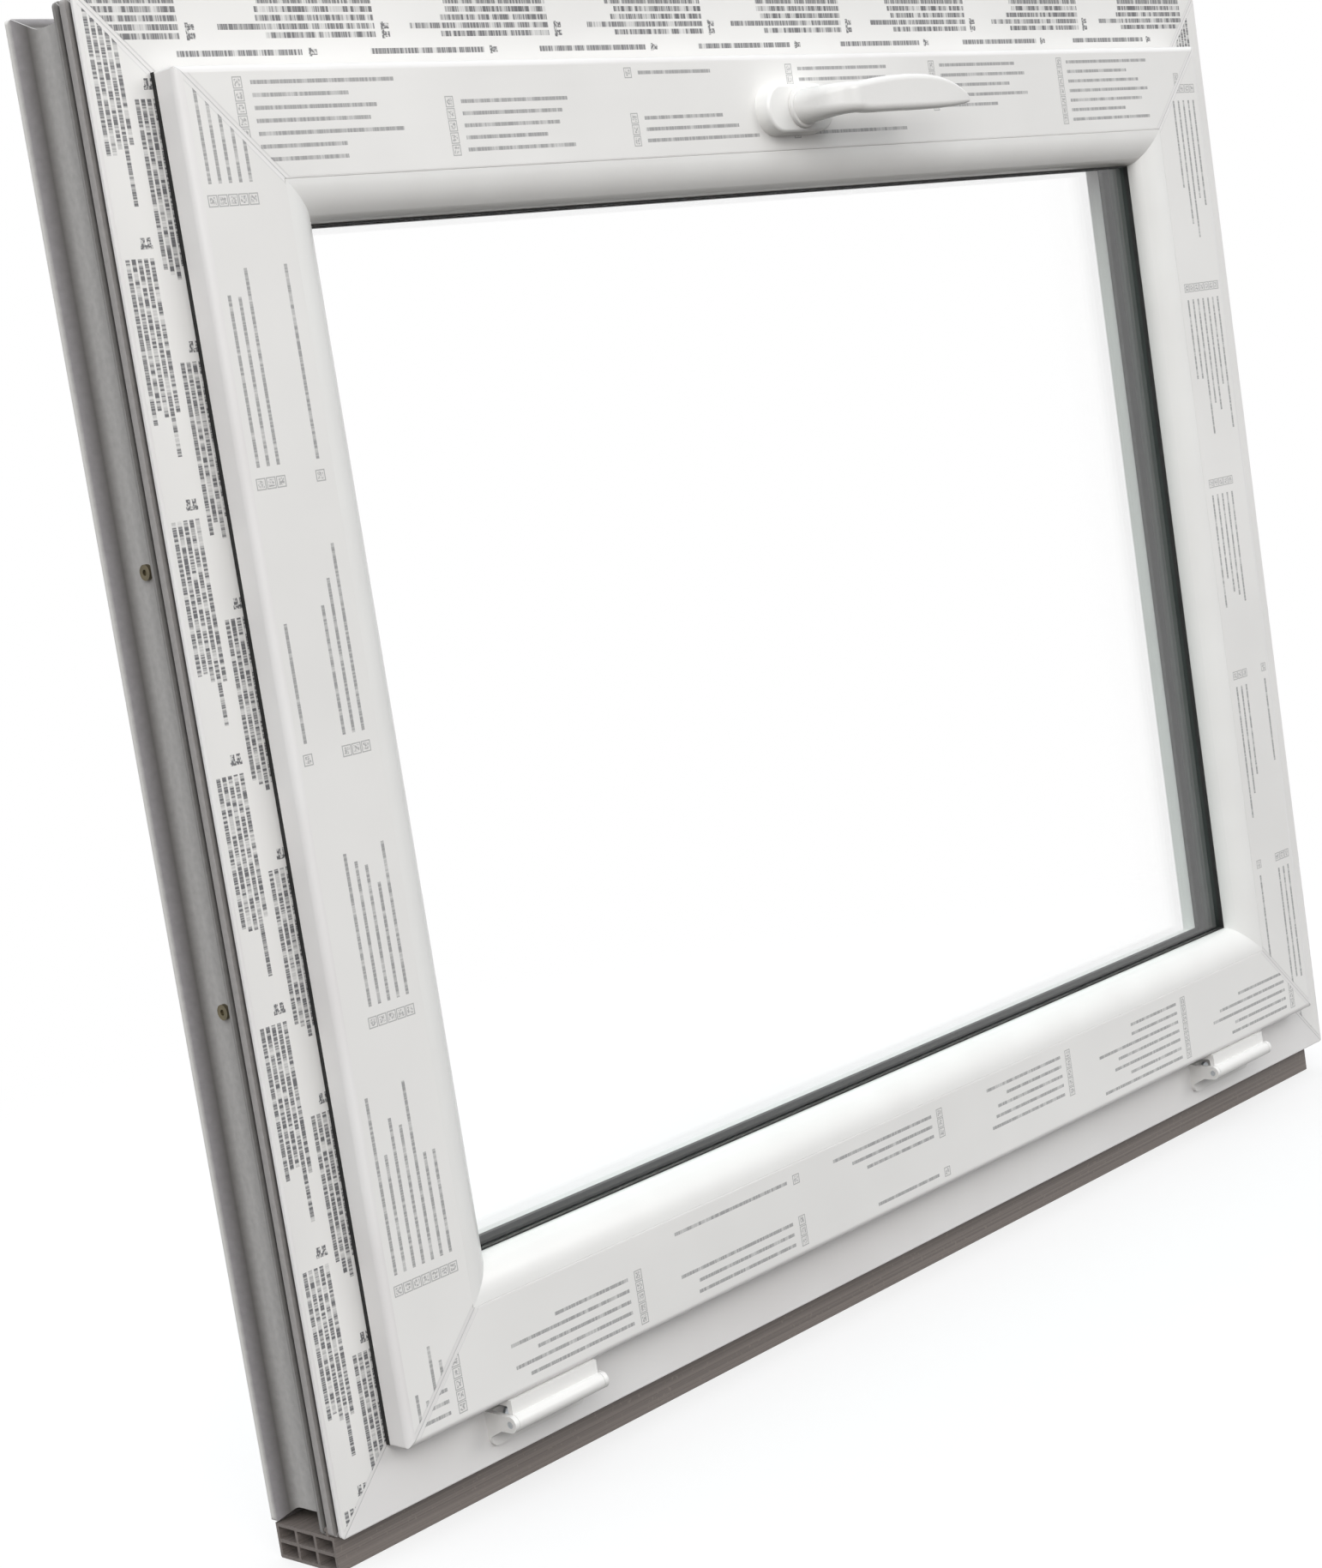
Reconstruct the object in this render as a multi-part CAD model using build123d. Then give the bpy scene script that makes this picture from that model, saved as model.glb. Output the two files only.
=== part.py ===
from build123d import *
from math import asin, atan2, cos, degrees, hypot, pi, radians, sin, tan
import os

# Bottom-hung PVC window: a mitred outer frame on a sub-sill profile, and a sash that tilts into
# the room about two hinges on its bottom rail. Millimetres, +X to the right seen from the room,
# +Y outdoors, +Z up. The origin is on the underside of the sub-sill, at mid width and mid depth.
#
# Every profile section is drawn in the same two directions: u runs outdoors from the frame's
# room face, and v runs inwards from the frame's outer edge, on whichever side the bar lies.

# ---------------------------------------------------------------- driving dimensions

WIDTH = 1000.0                 # outer frame
HEIGHT = 800.0
DEPTH = 62.0

SUB_SILL_HEIGHT = 20.0
SUB_SILL_DEPTH = 50.0
SUB_SILL_SETBACK = 8.0
SUB_SILL_LENGTH = 986.0

WALL = 2.5                     # PVC wall
FRAME_IN_VIEW = 38.5           # frame face left clear beside the sash
LIP_OVERLAP = 7.5              # sash lip over the frame face
AIR_GAP = 12.0                 # hardware space between frame and sash
FRAME_TALL = 66.0              # frame profile with its outdoor leg
LEG_THICK = 17.0

SASH_PROUD = 20.0              # sash face in front of the frame face
LIP_THICK = 17.0
SASH_FACE = 58.5
BEAD_FACE = 22.2
SASH_CORNER_RADIUS = 1.5
FRAME_CORNER_RADIUS = 3.0

PANE = 4.0
CAVITY = 16.0
GLASS_ROOM_SIDE = -0.5         # room side of the inner pane, on u
GLASS_COVER = 15.2             # glass held behind the bead

HANDLE_X = 0.0
BACKSET = 15.0                 # spindle below the sash's rebate edge
LEVER_REACH = 125.0
GEAR_MODULE = 1.5
GEAR_TEETH = 12
GEAR_PRESSURE_ANGLE = 25.0
LEVER_TURN = 90.0

HINGE_LENGTH = 73.0
HINGE_INSET = 109.0            # frame's side edge to the near end of each hinge
BARREL_RADIUS = 4.75
HINGE_PIN_RADIUS = 2.0
SASH_TILT = 15.0

STAY_LINK = 180.0
STAY_HEIGHT = 400.0            # stay pivots above the hinge axis

RUNNING = 0.05                 # radial clearance of a turning fit

# ---------------------------------------------------------------- derived levels

ROOM = -DEPTH / 2              # row Y of u = 0
BOTTOM = SUB_SILL_HEIGHT
TOP = BOTTOM + HEIGHT
MID = BOTTOM + HEIGHT / 2

REBATE = FRAME_IN_VIEW + LIP_OVERLAP
SASH_EDGE = REBATE + AIR_GAP
BEAD_SEAT = FRAME_IN_VIEW + SASH_FACE
SIGHT_LINE = BEAD_SEAT + BEAD_FACE
GLASS_EDGE = SIGHT_LINE - GLASS_COVER
FACE_U = -SASH_PROUD
LIP_BACK = FACE_U + LIP_THICK
SASH_OUT = DEPTH - SASH_PROUD
LEG_U = DEPTH - LEG_THICK
CAVITY_U = GLASS_ROOM_SIDE + PANE
OUTER_PANE_U = CAVITY_U + CAVITY
GLASS_OUT = OUTER_PANE_U + PANE
GLAZING_LEG_U = 27.0

GROOVE_DEPTH = 6.0             # the two narrow grooves round the outside of the frame
RECESS = 8.0                   # the wide recess beside them
RECESS_START = 18.0
RECESS_END = 46.0              # its floor ends here and curves up to the outdoor edge
RECESS_RIM = 57.0
RECESS_CURVE = 9.0

HARDWARE_U = 22.0              # middle of the hardware groove
PLATE_WIDTH = 16.0
PLATE_THICK = 2.5
SLOT_WIDTH = 12.0
PLATE_FLOOR = SASH_EDGE + PLATE_THICK
SLOT_FLOOR = SASH_EDGE + 9.0

AXIS_U = FACE_U                # hinge axis
AXIS_V = 25.75
AXIS_Z = BOTTOM + AXIS_V

SIDES = ("head", "sill", "left", "right")


# ---------------------------------------------------------------- bars round the window

def inward(side):
    """Unit vector from the frame's outer edge towards the middle of the window."""
    return {
        "head": Vector(0, 0, -1),
        "sill": Vector(0, 0, 1),
        "left": Vector(1, 0, 0),
        "right": Vector(-1, 0, 0),
    }[side]


def edge_point(side):
    """Middle of the frame's outer edge on one side, at its room face."""
    return Vector(0, ROOM, MID) - inward(side) * half_across(side)


def half_across(side):
    return HEIGHT / 2 if side in ("head", "sill") else WIDTH / 2


def half_along(side):
    return WIDTH / 2 if side in ("head", "sill") else HEIGHT / 2


def section_plane(side):
    """Plane of a section: local x is u, local y is v, and the bar runs along its normal."""
    outdoors = Vector(0, 1, 0)
    return Plane(edge_point(side), x_dir=outdoors, z_dir=outdoors.cross(inward(side)))


def mitre_block(side, reach=140.0):
    """Prism that keeps what lies between the two 45 degree cuts of a bar."""
    half = half_along(side)
    along = Vector(0, 1, 0).cross(inward(side))
    plane = Plane(edge_point(side), x_dir=along, z_dir=along.cross(inward(side)))
    corners = [(-half, 0), (half, 0), (half - reach, reach), (-half + reach, reach)]
    return extrude(plane * make_face(Polyline(*corners, close=True)), 2 * DEPTH, both=True)


def mitred_bar(section, side):
    return extrude(section_plane(side) * section, half_along(side), both=True) & mitre_block(side)


def square_bar(section, side, half_length):
    return extrude(section_plane(side) * section, half_length, both=True)


def ring(section):
    """Four mitred bars of a seal or spacer, joined into one piece."""
    bars = [mitred_bar(section, side) for side in SIDES]
    return bars[0] + bars[1:]


def corner_trim(edge_v, radius):
    """Rounded block that trims the outer corners of bars whose outer edge lies at edge_v."""
    plane = Plane((0, 0, MID), x_dir=(1, 0, 0), z_dir=(0, -1, 0))
    outline = RectangleRounded(WIDTH - 2 * edge_v, HEIGHT - 2 * edge_v, radius)
    return extrude(plane * outline, 2 * DEPTH, both=True)


def at(side, u, v, along=0.0):
    """Row position of section point (u, v), along mm right of or above the bar's middle."""
    step = Vector(1, 0, 0) if side in ("head", "sill") else Vector(0, 0, 1)
    return edge_point(side) + inward(side) * v + Vector(0, u, 0) + step * along


def block(side, u_span, v_span, along_span):
    """Box on one side of the window, from its spans of u, v and length."""
    near = at(side, u_span[0], v_span[0], along_span[0])
    far = at(side, u_span[1], v_span[1], along_span[1])
    size = far - near
    return Pos(*((near + far) / 2)) * Box(abs(size.X), abs(size.Y), abs(size.Z))


def stud(side, u, v_span, along, radius):
    """Cylinder that stands across the bar, from v_span[0] inwards to v_span[1]."""
    plane = Plane(at(side, u, v_span[0], along), z_dir=inward(side))
    return plane * Cylinder(radius, v_span[1] - v_span[0], align=(Align.CENTER, Align.CENTER, Align.MIN))


def depth_rod(x, z, u_span, radius):
    """Cylinder that runs in the depth direction, at row x and z."""
    plane = Plane((x, ROOM + u_span[0], z), z_dir=(0, 1, 0))
    return plane * Cylinder(radius, u_span[1] - u_span[0], align=(Align.CENTER, Align.CENTER, Align.MIN))


def outline(points, rounds=()):
    """Closed face through the points, with ((u, v), radius) roundings at some of them."""
    face = make_face(Polyline(*points, close=True))
    for (u, v), radius in rounds:
        face = fillet(face.vertices().sort_by_distance((u, v, 0))[0], radius)
    return face


def rectangle(u_span, v_span):
    return outline([(u_span[0], v_span[0]), (u_span[1], v_span[0]),
                    (u_span[1], v_span[1]), (u_span[0], v_span[1])])


def channel(u_span, v_span, thick, open_side):
    """Steel channel section that fills a chamber, open towards +u or +v."""
    skin = rectangle(u_span, v_span)
    if open_side == "u":
        return skin - rectangle((u_span[0] + thick, u_span[1] + 1), (v_span[0] + thick, v_span[1] - thick))
    return skin - rectangle((u_span[0] + thick, u_span[1] - thick), (v_span[0] + thick, v_span[1] + 1))


def group(solids):
    """Separate like pieces kept as one node."""
    return Compound(children=list(solids))


# ---------------------------------------------------------------- outer frame

MAIN_U = (16.5, LEG_U - 3.0)   # chamber that holds the frame's steel
MAIN_V = (RECESS + WALL, REBATE - WALL)
FRAME_SEAL_V = (57.5, 61.0)
FRAME_SEAL_DEEP = 4.0


def frame_section():
    skin = outline(
        [
            (0, 0), (2.3, 0),
            (2.3, GROOVE_DEPTH), (6.9, GROOVE_DEPTH), (6.9, 0), (11.7, 0),
            (11.7, GROOVE_DEPTH), (16, GROOVE_DEPTH), (16, 0), (RECESS_START, 0),
            (RECESS_START, RECESS), (RECESS_END, RECESS), (RECESS_RIM, 0), (DEPTH, 0),
            (DEPTH, FRAME_TALL - 4), (DEPTH - 4, FRAME_TALL), (LEG_U, FRAME_TALL),
            (LEG_U, FRAME_SEAL_V[1]), (LEG_U + FRAME_SEAL_DEEP, FRAME_SEAL_V[1]),
            (LEG_U + FRAME_SEAL_DEEP, FRAME_SEAL_V[0]), (LEG_U, FRAME_SEAL_V[0]),
            (LEG_U, REBATE), (0, REBATE),
        ],
        rounds=[
            ((0, 0), 1.0), ((RECESS_END, RECESS), RECESS_CURVE), ((RECESS_RIM, 0), 2.0), ((DEPTH, 0), 2.5),
            ((0, REBATE), 1.0), ((LEG_U, FRAME_TALL), 1.0),
        ],
    )
    room_chamber = rectangle((WALL, MAIN_U[0] - WALL), (GROOVE_DEPTH + WALL, MAIN_V[1]))
    main_chamber = rectangle(MAIN_U, MAIN_V)
    outdoor = MAIN_U[1] + WALL
    outdoor_chamber = outline([
        (outdoor, MAIN_V[0]), (RECESS_END + 2, MAIN_V[0]), (RECESS_RIM + 1, WALL + 1),
        (DEPTH - WALL, WALL + 1), (DEPTH - WALL, FRAME_SEAL_V[0] - WALL),
        (LEG_U + WALL, FRAME_SEAL_V[0] - WALL), (LEG_U + WALL, MAIN_V[1]), (outdoor, MAIN_V[1]),
    ])
    return skin - room_chamber - main_chamber - outdoor_chamber


STEEL = 1.5
FRAME_STEEL_U = (MAIN_U[0] + 0.5, MAIN_U[1] - 0.5)
FRAME_STEEL_V = (MAIN_V[0] + 0.5, MAIN_V[1] - 0.5)
FRAME_STEEL_SHORT = 50.0       # square-cut steel stops this far short of the frame's corner
SCREW_SHANK = 1.9
STEEL_SCREW_U = 32.0
STEEL_SCREW_OFFSETS = {"head": 200.0, "sill": 200.0, "left": 116.0, "right": 116.0}

DRAIN_X = 300.0
DRAIN_V = 15.0
DRAIN_SLOT = (28.0, 5.0)
DRAIN_CAP = (40.0, 14.0, 5.0)


def steel_screw_places(side):
    return (-STEEL_SCREW_OFFSETS[side], STEEL_SCREW_OFFSETS[side])


def frame_bar(side):
    bar = mitred_bar(frame_section(), side) & corner_trim(0, FRAME_CORNER_RADIUS)
    for along in steel_screw_places(side):
        bar -= stud(side, STEEL_SCREW_U, (RECESS - 1, MAIN_V[0] + 1), along, SCREW_SHANK + RUNNING)
    if side == "sill":
        for x in (-DRAIN_X, DRAIN_X):
            slot = SlotOverall(*DRAIN_SLOT)
            plane = Plane((x, ROOM + DEPTH + 1, BOTTOM + DRAIN_V), x_dir=(1, 0, 0), z_dir=(0, -1, 0))
            bar -= extrude(plane * slot, WALL + 2)
        for name in ("left", "right"):
            for x in frame_leaf_screw_places(name):
                bar -= depth_rod(x, AXIS_Z, (-1, WALL + 5), SCREW_SHANK + RUNNING)
    if side == "head":
        for x in keep_screw_places():
            bar -= stud("head", HARDWARE_U, (MAIN_V[1] - 1, REBATE + 1), x, SCREW_SHANK + RUNNING)
    return bar


def frame_steel(side):
    steel = square_bar(channel(FRAME_STEEL_U, FRAME_STEEL_V, STEEL, "v"), side,
                       half_along(side) - FRAME_STEEL_SHORT)
    for along in steel_screw_places(side):
        steel -= stud(side, STEEL_SCREW_U, (FRAME_STEEL_V[0] - 1, FRAME_STEEL_V[0] + STEEL + 1),
                      along, SCREW_SHANK + RUNNING)
    return steel


def frame_steel_screws():
    screws = []
    for side in SIDES:
        for along in steel_screw_places(side):
            head = stud(side, STEEL_SCREW_U, (RECESS - 2.2, RECESS), along, 4.2)
            recess = stud(side, STEEL_SCREW_U, (RECESS - 2.3, RECESS - 1.0), along, 1.6)
            shank = stud(side, STEEL_SCREW_U, (RECESS, RECESS + 8), along, SCREW_SHANK)
            screws.append(head + shank - recess)
    return group(screws)


def drainage_caps():
    """Hooded caps over the two drain slots on the outdoor face, open along their lower edge."""
    length, height, proud = DRAIN_CAP
    caps = []
    for x in (-DRAIN_X, DRAIN_X):
        shell = Pos(x, ROOM + DEPTH + proud / 2, BOTTOM + DRAIN_V) * Box(length, proud, height)
        shell = fillet(shell.edges().filter_by(Axis.Y), 3.0)
        shell = chamfer(shell.faces().sort_by(Axis.Y)[-1].edges(), 1.2)
        hollow = Pos(x, ROOM + DEPTH + proud / 2 - 1, BOTTOM + DRAIN_V - 2)
        caps.append(shell - hollow * Box(length - 4, proud - 1, height))
    return group(caps)


def sub_sill_profile():
    """Hollow base profile clipped under the frame; its cut ends are open."""
    u0 = SUB_SILL_SETBACK
    u1 = u0 + SUB_SILL_DEPTH
    skin = outline([(u0, -SUB_SILL_HEIGHT), (u1, -SUB_SILL_HEIGHT), (u1, 0), (u0, 0)],
                   rounds=[((u0, -SUB_SILL_HEIGHT), 1.0), ((u1, -SUB_SILL_HEIGHT), 1.0)])
    clip = outline([(12.3, 0), (12.3, 5.2), (13.8, 5.2), (15.4, 3.6), (15.4, 2.6), (14.2, 2.6), (14.2, 0)])
    section = skin + clip
    wall = 2.0
    cells = 3
    pitch = (SUB_SILL_DEPTH - wall) / cells
    mid = -SUB_SILL_HEIGHT / 2
    for n in range(cells):
        start = u0 + wall + n * pitch
        section -= rectangle((start, start + pitch - wall), (mid + wall / 2, -wall))
        section -= rectangle((start, start + pitch - wall), (-SUB_SILL_HEIGHT + wall, mid - wall / 2))
    bar = square_bar(section, "sill", SUB_SILL_LENGTH / 2)
    return Pos(-(WIDTH - SUB_SILL_LENGTH) / 2 + 0.5, 0, 0) * bar


def frame_seal():
    """Bulb seal in the frame's outdoor leg; the sash closes against it."""
    foot = rectangle((LEG_U, LEG_U + FRAME_SEAL_DEEP - 0.3), (FRAME_SEAL_V[0] + 0.3, FRAME_SEAL_V[1] - 0.3))
    bulb = outline([(SASH_OUT + 0.3, 58.2), (LEG_U, 56.6), (LEG_U, 62.0), (SASH_OUT + 0.3, 60.4)])
    return ring(foot + bulb)


# ---------------------------------------------------------------- sash

SASH_MAIN_U = (LIP_BACK, 25.0)
SASH_MAIN_V = (SLOT_FLOOR + WALL, BEAD_SEAT - WALL)
SASH_STEEL_U = (SASH_MAIN_U[0] + 0.5, SASH_MAIN_U[1] - 0.5)
SASH_STEEL_V = (SASH_MAIN_V[0] + 0.5, SASH_MAIN_V[1] - 0.5)
SASH_STEEL_SHORT = 102.0
LIP_SEAL_V = (39.7, 42.7)
LIP_SEAL_DEEP = 3.0
BEAD_GROOVE_U = (-14.0, -10.0)
BEAD_GROOVE_DEEP = 6.0
BEAD_TIGHT_RADIUS = 12.5
SEAL_SHOWS = 0.9               # seal in view past the bead
GLAZING_SEAL_V = (110.5, 114.0)
GLAZING_LEG_TOP = 117.0
HANDLE_V = SASH_EDGE + BACKSET
HANDLE_Z = TOP - HANDLE_V
HANDLE_SCREW_PITCH = 43.0


def sash_section():
    half_plate = PLATE_WIDTH / 2
    half_slot = SLOT_WIDTH / 2
    skin = outline(
        [
            (FACE_U, FRAME_IN_VIEW), (LIP_BACK, FRAME_IN_VIEW),
            (LIP_BACK, LIP_SEAL_V[0]), (LIP_BACK - LIP_SEAL_DEEP, LIP_SEAL_V[0]),
            (LIP_BACK - LIP_SEAL_DEEP, LIP_SEAL_V[1]), (LIP_BACK, LIP_SEAL_V[1]),
            (LIP_BACK, SASH_EDGE), (HARDWARE_U - half_plate, SASH_EDGE),
            (HARDWARE_U - half_plate, PLATE_FLOOR), (HARDWARE_U - half_slot, PLATE_FLOOR),
            (HARDWARE_U - half_slot, SLOT_FLOOR), (HARDWARE_U + half_slot, SLOT_FLOOR),
            (HARDWARE_U + half_slot, PLATE_FLOOR), (HARDWARE_U + half_plate, PLATE_FLOOR),
            (HARDWARE_U + half_plate, SASH_EDGE), (SASH_OUT, SASH_EDGE),
            (SASH_OUT, GLAZING_LEG_TOP - 5), (SASH_OUT - 4, GLAZING_LEG_TOP),
            (GLAZING_LEG_U, GLAZING_LEG_TOP),
            (GLAZING_LEG_U, GLAZING_SEAL_V[1]), (GLAZING_LEG_U + WALL, GLAZING_SEAL_V[1]),
            (GLAZING_LEG_U + WALL, GLAZING_SEAL_V[0]), (GLAZING_LEG_U, GLAZING_SEAL_V[0]),
            (GLAZING_LEG_U, BEAD_SEAT), (BEAD_GROOVE_U[1], BEAD_SEAT),
            (BEAD_GROOVE_U[1], BEAD_SEAT - BEAD_GROOVE_DEEP),
            (BEAD_GROOVE_U[0], BEAD_SEAT - BEAD_GROOVE_DEEP),
            (BEAD_GROOVE_U[0], BEAD_SEAT), (FACE_U, BEAD_SEAT),
        ],
        rounds=[
            ((FACE_U, FRAME_IN_VIEW), 4.0), ((LIP_BACK, FRAME_IN_VIEW), 1.0),
            ((SASH_OUT, SASH_EDGE), 1.0), ((FACE_U, BEAD_SEAT), 0.5),
        ],
    )
    lip_chamber = rectangle((FACE_U + WALL, LIP_BACK - WALL),
                            (LIP_SEAL_V[1] + 3, BEAD_SEAT - BEAD_GROOVE_DEEP - 3))
    edge_chamber = rectangle((LIP_BACK + WALL, HARDWARE_U - half_plate - WALL),
                             (SASH_EDGE + WALL, SLOT_FLOOR))
    main_chamber = rectangle(SASH_MAIN_U, SASH_MAIN_V)
    step = HARDWARE_U + half_plate + WALL
    outdoor_chamber = outline([
        (SASH_MAIN_U[1] + WALL, SASH_MAIN_V[0]), (step, SASH_MAIN_V[0]), (step, SASH_EDGE + WALL),
        (SASH_OUT - WALL, SASH_EDGE + WALL), (SASH_OUT - WALL, GLAZING_SEAL_V[0] - WALL),
        (GLAZING_LEG_U + 3, GLAZING_SEAL_V[0] - WALL), (GLAZING_LEG_U + 3, SASH_MAIN_V[1]),
        (SASH_MAIN_U[1] + WALL, SASH_MAIN_V[1]),
    ])
    return skin - lip_chamber - edge_chamber - main_chamber - outdoor_chamber


GEAR_CENTRE = (HANDLE_X, HANDLE_Z)
PITCH_RADIUS = GEAR_MODULE * GEAR_TEETH / 2
TIP_RADIUS = PITCH_RADIUS + GEAR_MODULE
ROOT_RADIUS = PITCH_RADIUS - 1.25 * GEAR_MODULE
CASE_HALF = 30.0
CASE_U = (HARDWARE_U - 6.5, HARDWARE_U + 6.5)
CASE_V = (SLOT_FLOOR + 0.3, 88.0)
COVER_THICK = 2.0


def gearbox_pocket(clear):
    return block("head", (CASE_U[0] - clear, CASE_U[1] + clear), (SASH_EDGE + 1.5, CASE_V[1] + clear),
                 (HANDLE_X - CASE_HALF - clear, HANDLE_X + CASE_HALF + clear))


def handle_holes():
    """Spindle hole and two screw holes, from the sash face to the gearbox."""
    holes = depth_rod(HANDLE_X, HANDLE_Z, (FACE_U - 1, CASE_U[0] + 1), 6.5)
    for x in (-HANDLE_SCREW_PITCH / 2, HANDLE_SCREW_PITCH / 2):
        holes += depth_rod(HANDLE_X + x, HANDLE_Z, (FACE_U - 1, CASE_U[0] + 1), 3.2)
    return holes


def sash_bar(side):
    bar = mitred_bar(sash_section(), side) & corner_trim(FRAME_IN_VIEW, SASH_CORNER_RADIUS)
    if side == "head":
        bar = bar - gearbox_pocket(0.5) - handle_holes() - faceplate_screw_holes()
    if side == "sill":
        for x in hinge_screw_places():
            bar -= stud("sill", HINGE_SCREW_U, (FRAME_IN_VIEW - 1, FRAME_IN_VIEW + 8.2), x,
                        SCREW_SHANK + RUNNING)
    return bar


def sash_steel(side):
    steel = square_bar(channel(SASH_STEEL_U, SASH_STEEL_V, STEEL, "u"), side,
                       half_along(side) - SASH_STEEL_SHORT)
    if side == "head":
        steel = steel - gearbox_pocket(1.5) - handle_holes() - faceplate_screw_holes()
    return steel


def lip_seal():
    """Seal in the back of the sash lip, pressed against the frame face."""
    foot = rectangle((LIP_BACK - LIP_SEAL_DEEP + 0.3, LIP_BACK), (LIP_SEAL_V[0] + 0.3, LIP_SEAL_V[1] - 0.3))
    near, far = FRAME_IN_VIEW + 0.2, LIP_SEAL_V[1] + 1.0
    blade = outline([(LIP_BACK, near), (LIP_BACK, far), (-0.3, far - 0.8), (-0.3, near)])
    return ring(foot + blade)


def glazing_bead(side):
    """Bead with a rounded face of two tangent arcs, clipped into the groove of the sash."""
    base = BEAD_SEAT + 0.1
    back = GLASS_ROOM_SIDE - 3
    deep = back - FACE_U
    wide = SIGHT_LINE - base
    tight = BEAD_TIGHT_RADIUS
    shallow = (deep**2 + wide**2 - 2 * wide * tight) / (2 * (deep - tight))
    turn = degrees(atan2(shallow - deep, wide - tight))
    nose = JernArc((back, SIGHT_LINE), (-1, 0), tight, turn)
    flank = JernArc(nose @ 1, nose % 1, shallow, 90 - turn)
    foot_u = (BEAD_GROOVE_U[0] + 0.2, BEAD_GROOVE_U[1] - 0.2)
    rest = Polyline(flank @ 1, (foot_u[0], base), (foot_u[0], base - BEAD_GROOVE_DEEP + 0.5),
                    (foot_u[1], base - BEAD_GROOVE_DEEP + 0.5), (foot_u[1], base),
                    (back, base), nose @ 0)
    face = make_face(nose + flank + rest)
    hollow = outline([(-16.5, base + WALL), (-6.0, base + WALL), (-6.0, 115.5), (-10.0, 114.5),
                      (-14.0, 109.5), (-16.5, 104.0)])
    return mitred_bar(face - hollow, side)


def bead_seal():
    return ring(rectangle((GLASS_ROOM_SIDE - 3, GLASS_ROOM_SIDE), (112.5, SIGHT_LINE + SEAL_SHOWS)))


def outer_glazing_seal():
    foot = rectangle((GLAZING_LEG_U, GLAZING_LEG_U + 2.2), (GLAZING_SEAL_V[0] + 0.3, GLAZING_SEAL_V[1] - 0.3))
    pad = rectangle((GLASS_OUT, GLAZING_LEG_U), (108.0, GLAZING_LEG_TOP + 1.6))
    return ring(foot + pad)


def pane(u):
    box = Box(WIDTH - 2 * GLASS_EDGE, PANE, HEIGHT - 2 * GLASS_EDGE)
    return Pos(0, ROOM + u + PANE / 2, MID) * box


def spacer_bar():
    return ring(rectangle((CAVITY_U, OUTER_PANE_U), (GLASS_EDGE + 3.5, GLASS_EDGE + 10.0)))


def edge_sealant():
    return ring(rectangle((CAVITY_U, OUTER_PANE_U), (GLASS_EDGE, GLASS_EDGE + 3.5)))


def setting_blocks():
    blocks = []
    for side in SIDES:
        spread = half_along(side) - GLASS_EDGE - 100.0
        for along in (-spread, spread):
            blocks.append(block(side, (GLASS_ROOM_SIDE, GLASS_OUT), (BEAD_SEAT, GLASS_EDGE),
                                (along - 50.0, along + 50.0)))
    return group(blocks)


# ---------------------------------------------------------------- hinges

HINGE_SCREW_U = -12.0
EAR = 3.0                      # thickness of the end ears that carry the pin
EAR_GAP = 0.25
FLANGE_V = (FRAME_IN_VIEW - 3.5, FRAME_IN_VIEW)
BASE_THICK = 2.5
BASE_V = (10.0, 31.0)


def hinge_starts():
    """Row x of the left end of each hinge."""
    return {
        "left": -WIDTH / 2 + HINGE_INSET,
        "right": WIDTH / 2 - HINGE_INSET - HINGE_LENGTH,
    }


def hinge_screw_places():
    return [start + offset for start in hinge_starts().values() for offset in (12.0, HINGE_LENGTH - 12.0)]


def frame_leaf_screw_places(name):
    middle = hinge_starts()[name] + HINGE_LENGTH / 2
    return (middle - 22.0, middle + 22.0)


def barrel(x0, x1, radius):
    plane = Plane((x0, ROOM + AXIS_U, AXIS_Z), z_dir=(1, 0, 0))
    return plane * Cylinder(radius, x1 - x0, align=(Align.CENTER, Align.CENTER, Align.MIN))


def frame_hinge_leaf(name):
    """Base plate on the frame face with an ear at each end; the ears hold the pin."""
    x0 = hinge_starts()[name]
    x1 = x0 + HINGE_LENGTH
    leaf = block("sill", (-BASE_THICK, 0), BASE_V, (x0, x1))
    leaf = fillet(leaf.edges().filter_by(Axis.Y), 5.0)
    arm = outline([(0, 15.0), (0, BASE_V[1]), (AXIS_U, AXIS_V + BARREL_RADIUS), (AXIS_U, AXIS_V - BARREL_RADIUS),
                   (AXIS_U + 8.0, AXIS_V - BARREL_RADIUS)])
    for start in (x0, x1 - EAR):
        ear = Pos(start + EAR / 2, 0, 0) * square_bar(arm, "sill", EAR / 2)
        leaf += ear + barrel(start, start + EAR, BARREL_RADIUS)
    leaf -= barrel(x0 - 1, x1 + 1, HINGE_PIN_RADIUS + RUNNING)
    for x in frame_leaf_screw_places(name):
        leaf -= depth_rod(x, AXIS_Z, (-BASE_THICK - 1, 1), SCREW_SHANK + RUNNING)
    return leaf


def sash_hinge_leaf(name):
    """Angle under the sash lip whose front web runs down into the barrel."""
    start = hinge_starts()[name] + EAR + EAR_GAP
    end = start + HINGE_LENGTH - 2 * (EAR + EAR_GAP)
    section = outline([
        (FACE_U, AXIS_V), (FACE_U, FLANGE_V[1]), (-7.5, FLANGE_V[1]), (-7.5, FLANGE_V[0]),
        (FACE_U + 3.5, FLANGE_V[0]), (FACE_U + 3.5, AXIS_V),
    ], rounds=[((FACE_U + 3.5, FLANGE_V[0]), 1.5), ((-7.5, FLANGE_V[0]), 1.0)])
    leaf = Pos((start + end) / 2, 0, 0) * square_bar(section, "sill", (end - start) / 2)
    leaf += barrel(start, end, BARREL_RADIUS)
    leaf -= barrel(start - 1, end + 1, HINGE_PIN_RADIUS + RUNNING)
    for x in hinge_screw_places():
        if start < x < end:
            leaf -= stud("sill", HINGE_SCREW_U, (FLANGE_V[0] - 1, FLANGE_V[1] + 1), x, SCREW_SHANK + RUNNING)
    return leaf


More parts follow.
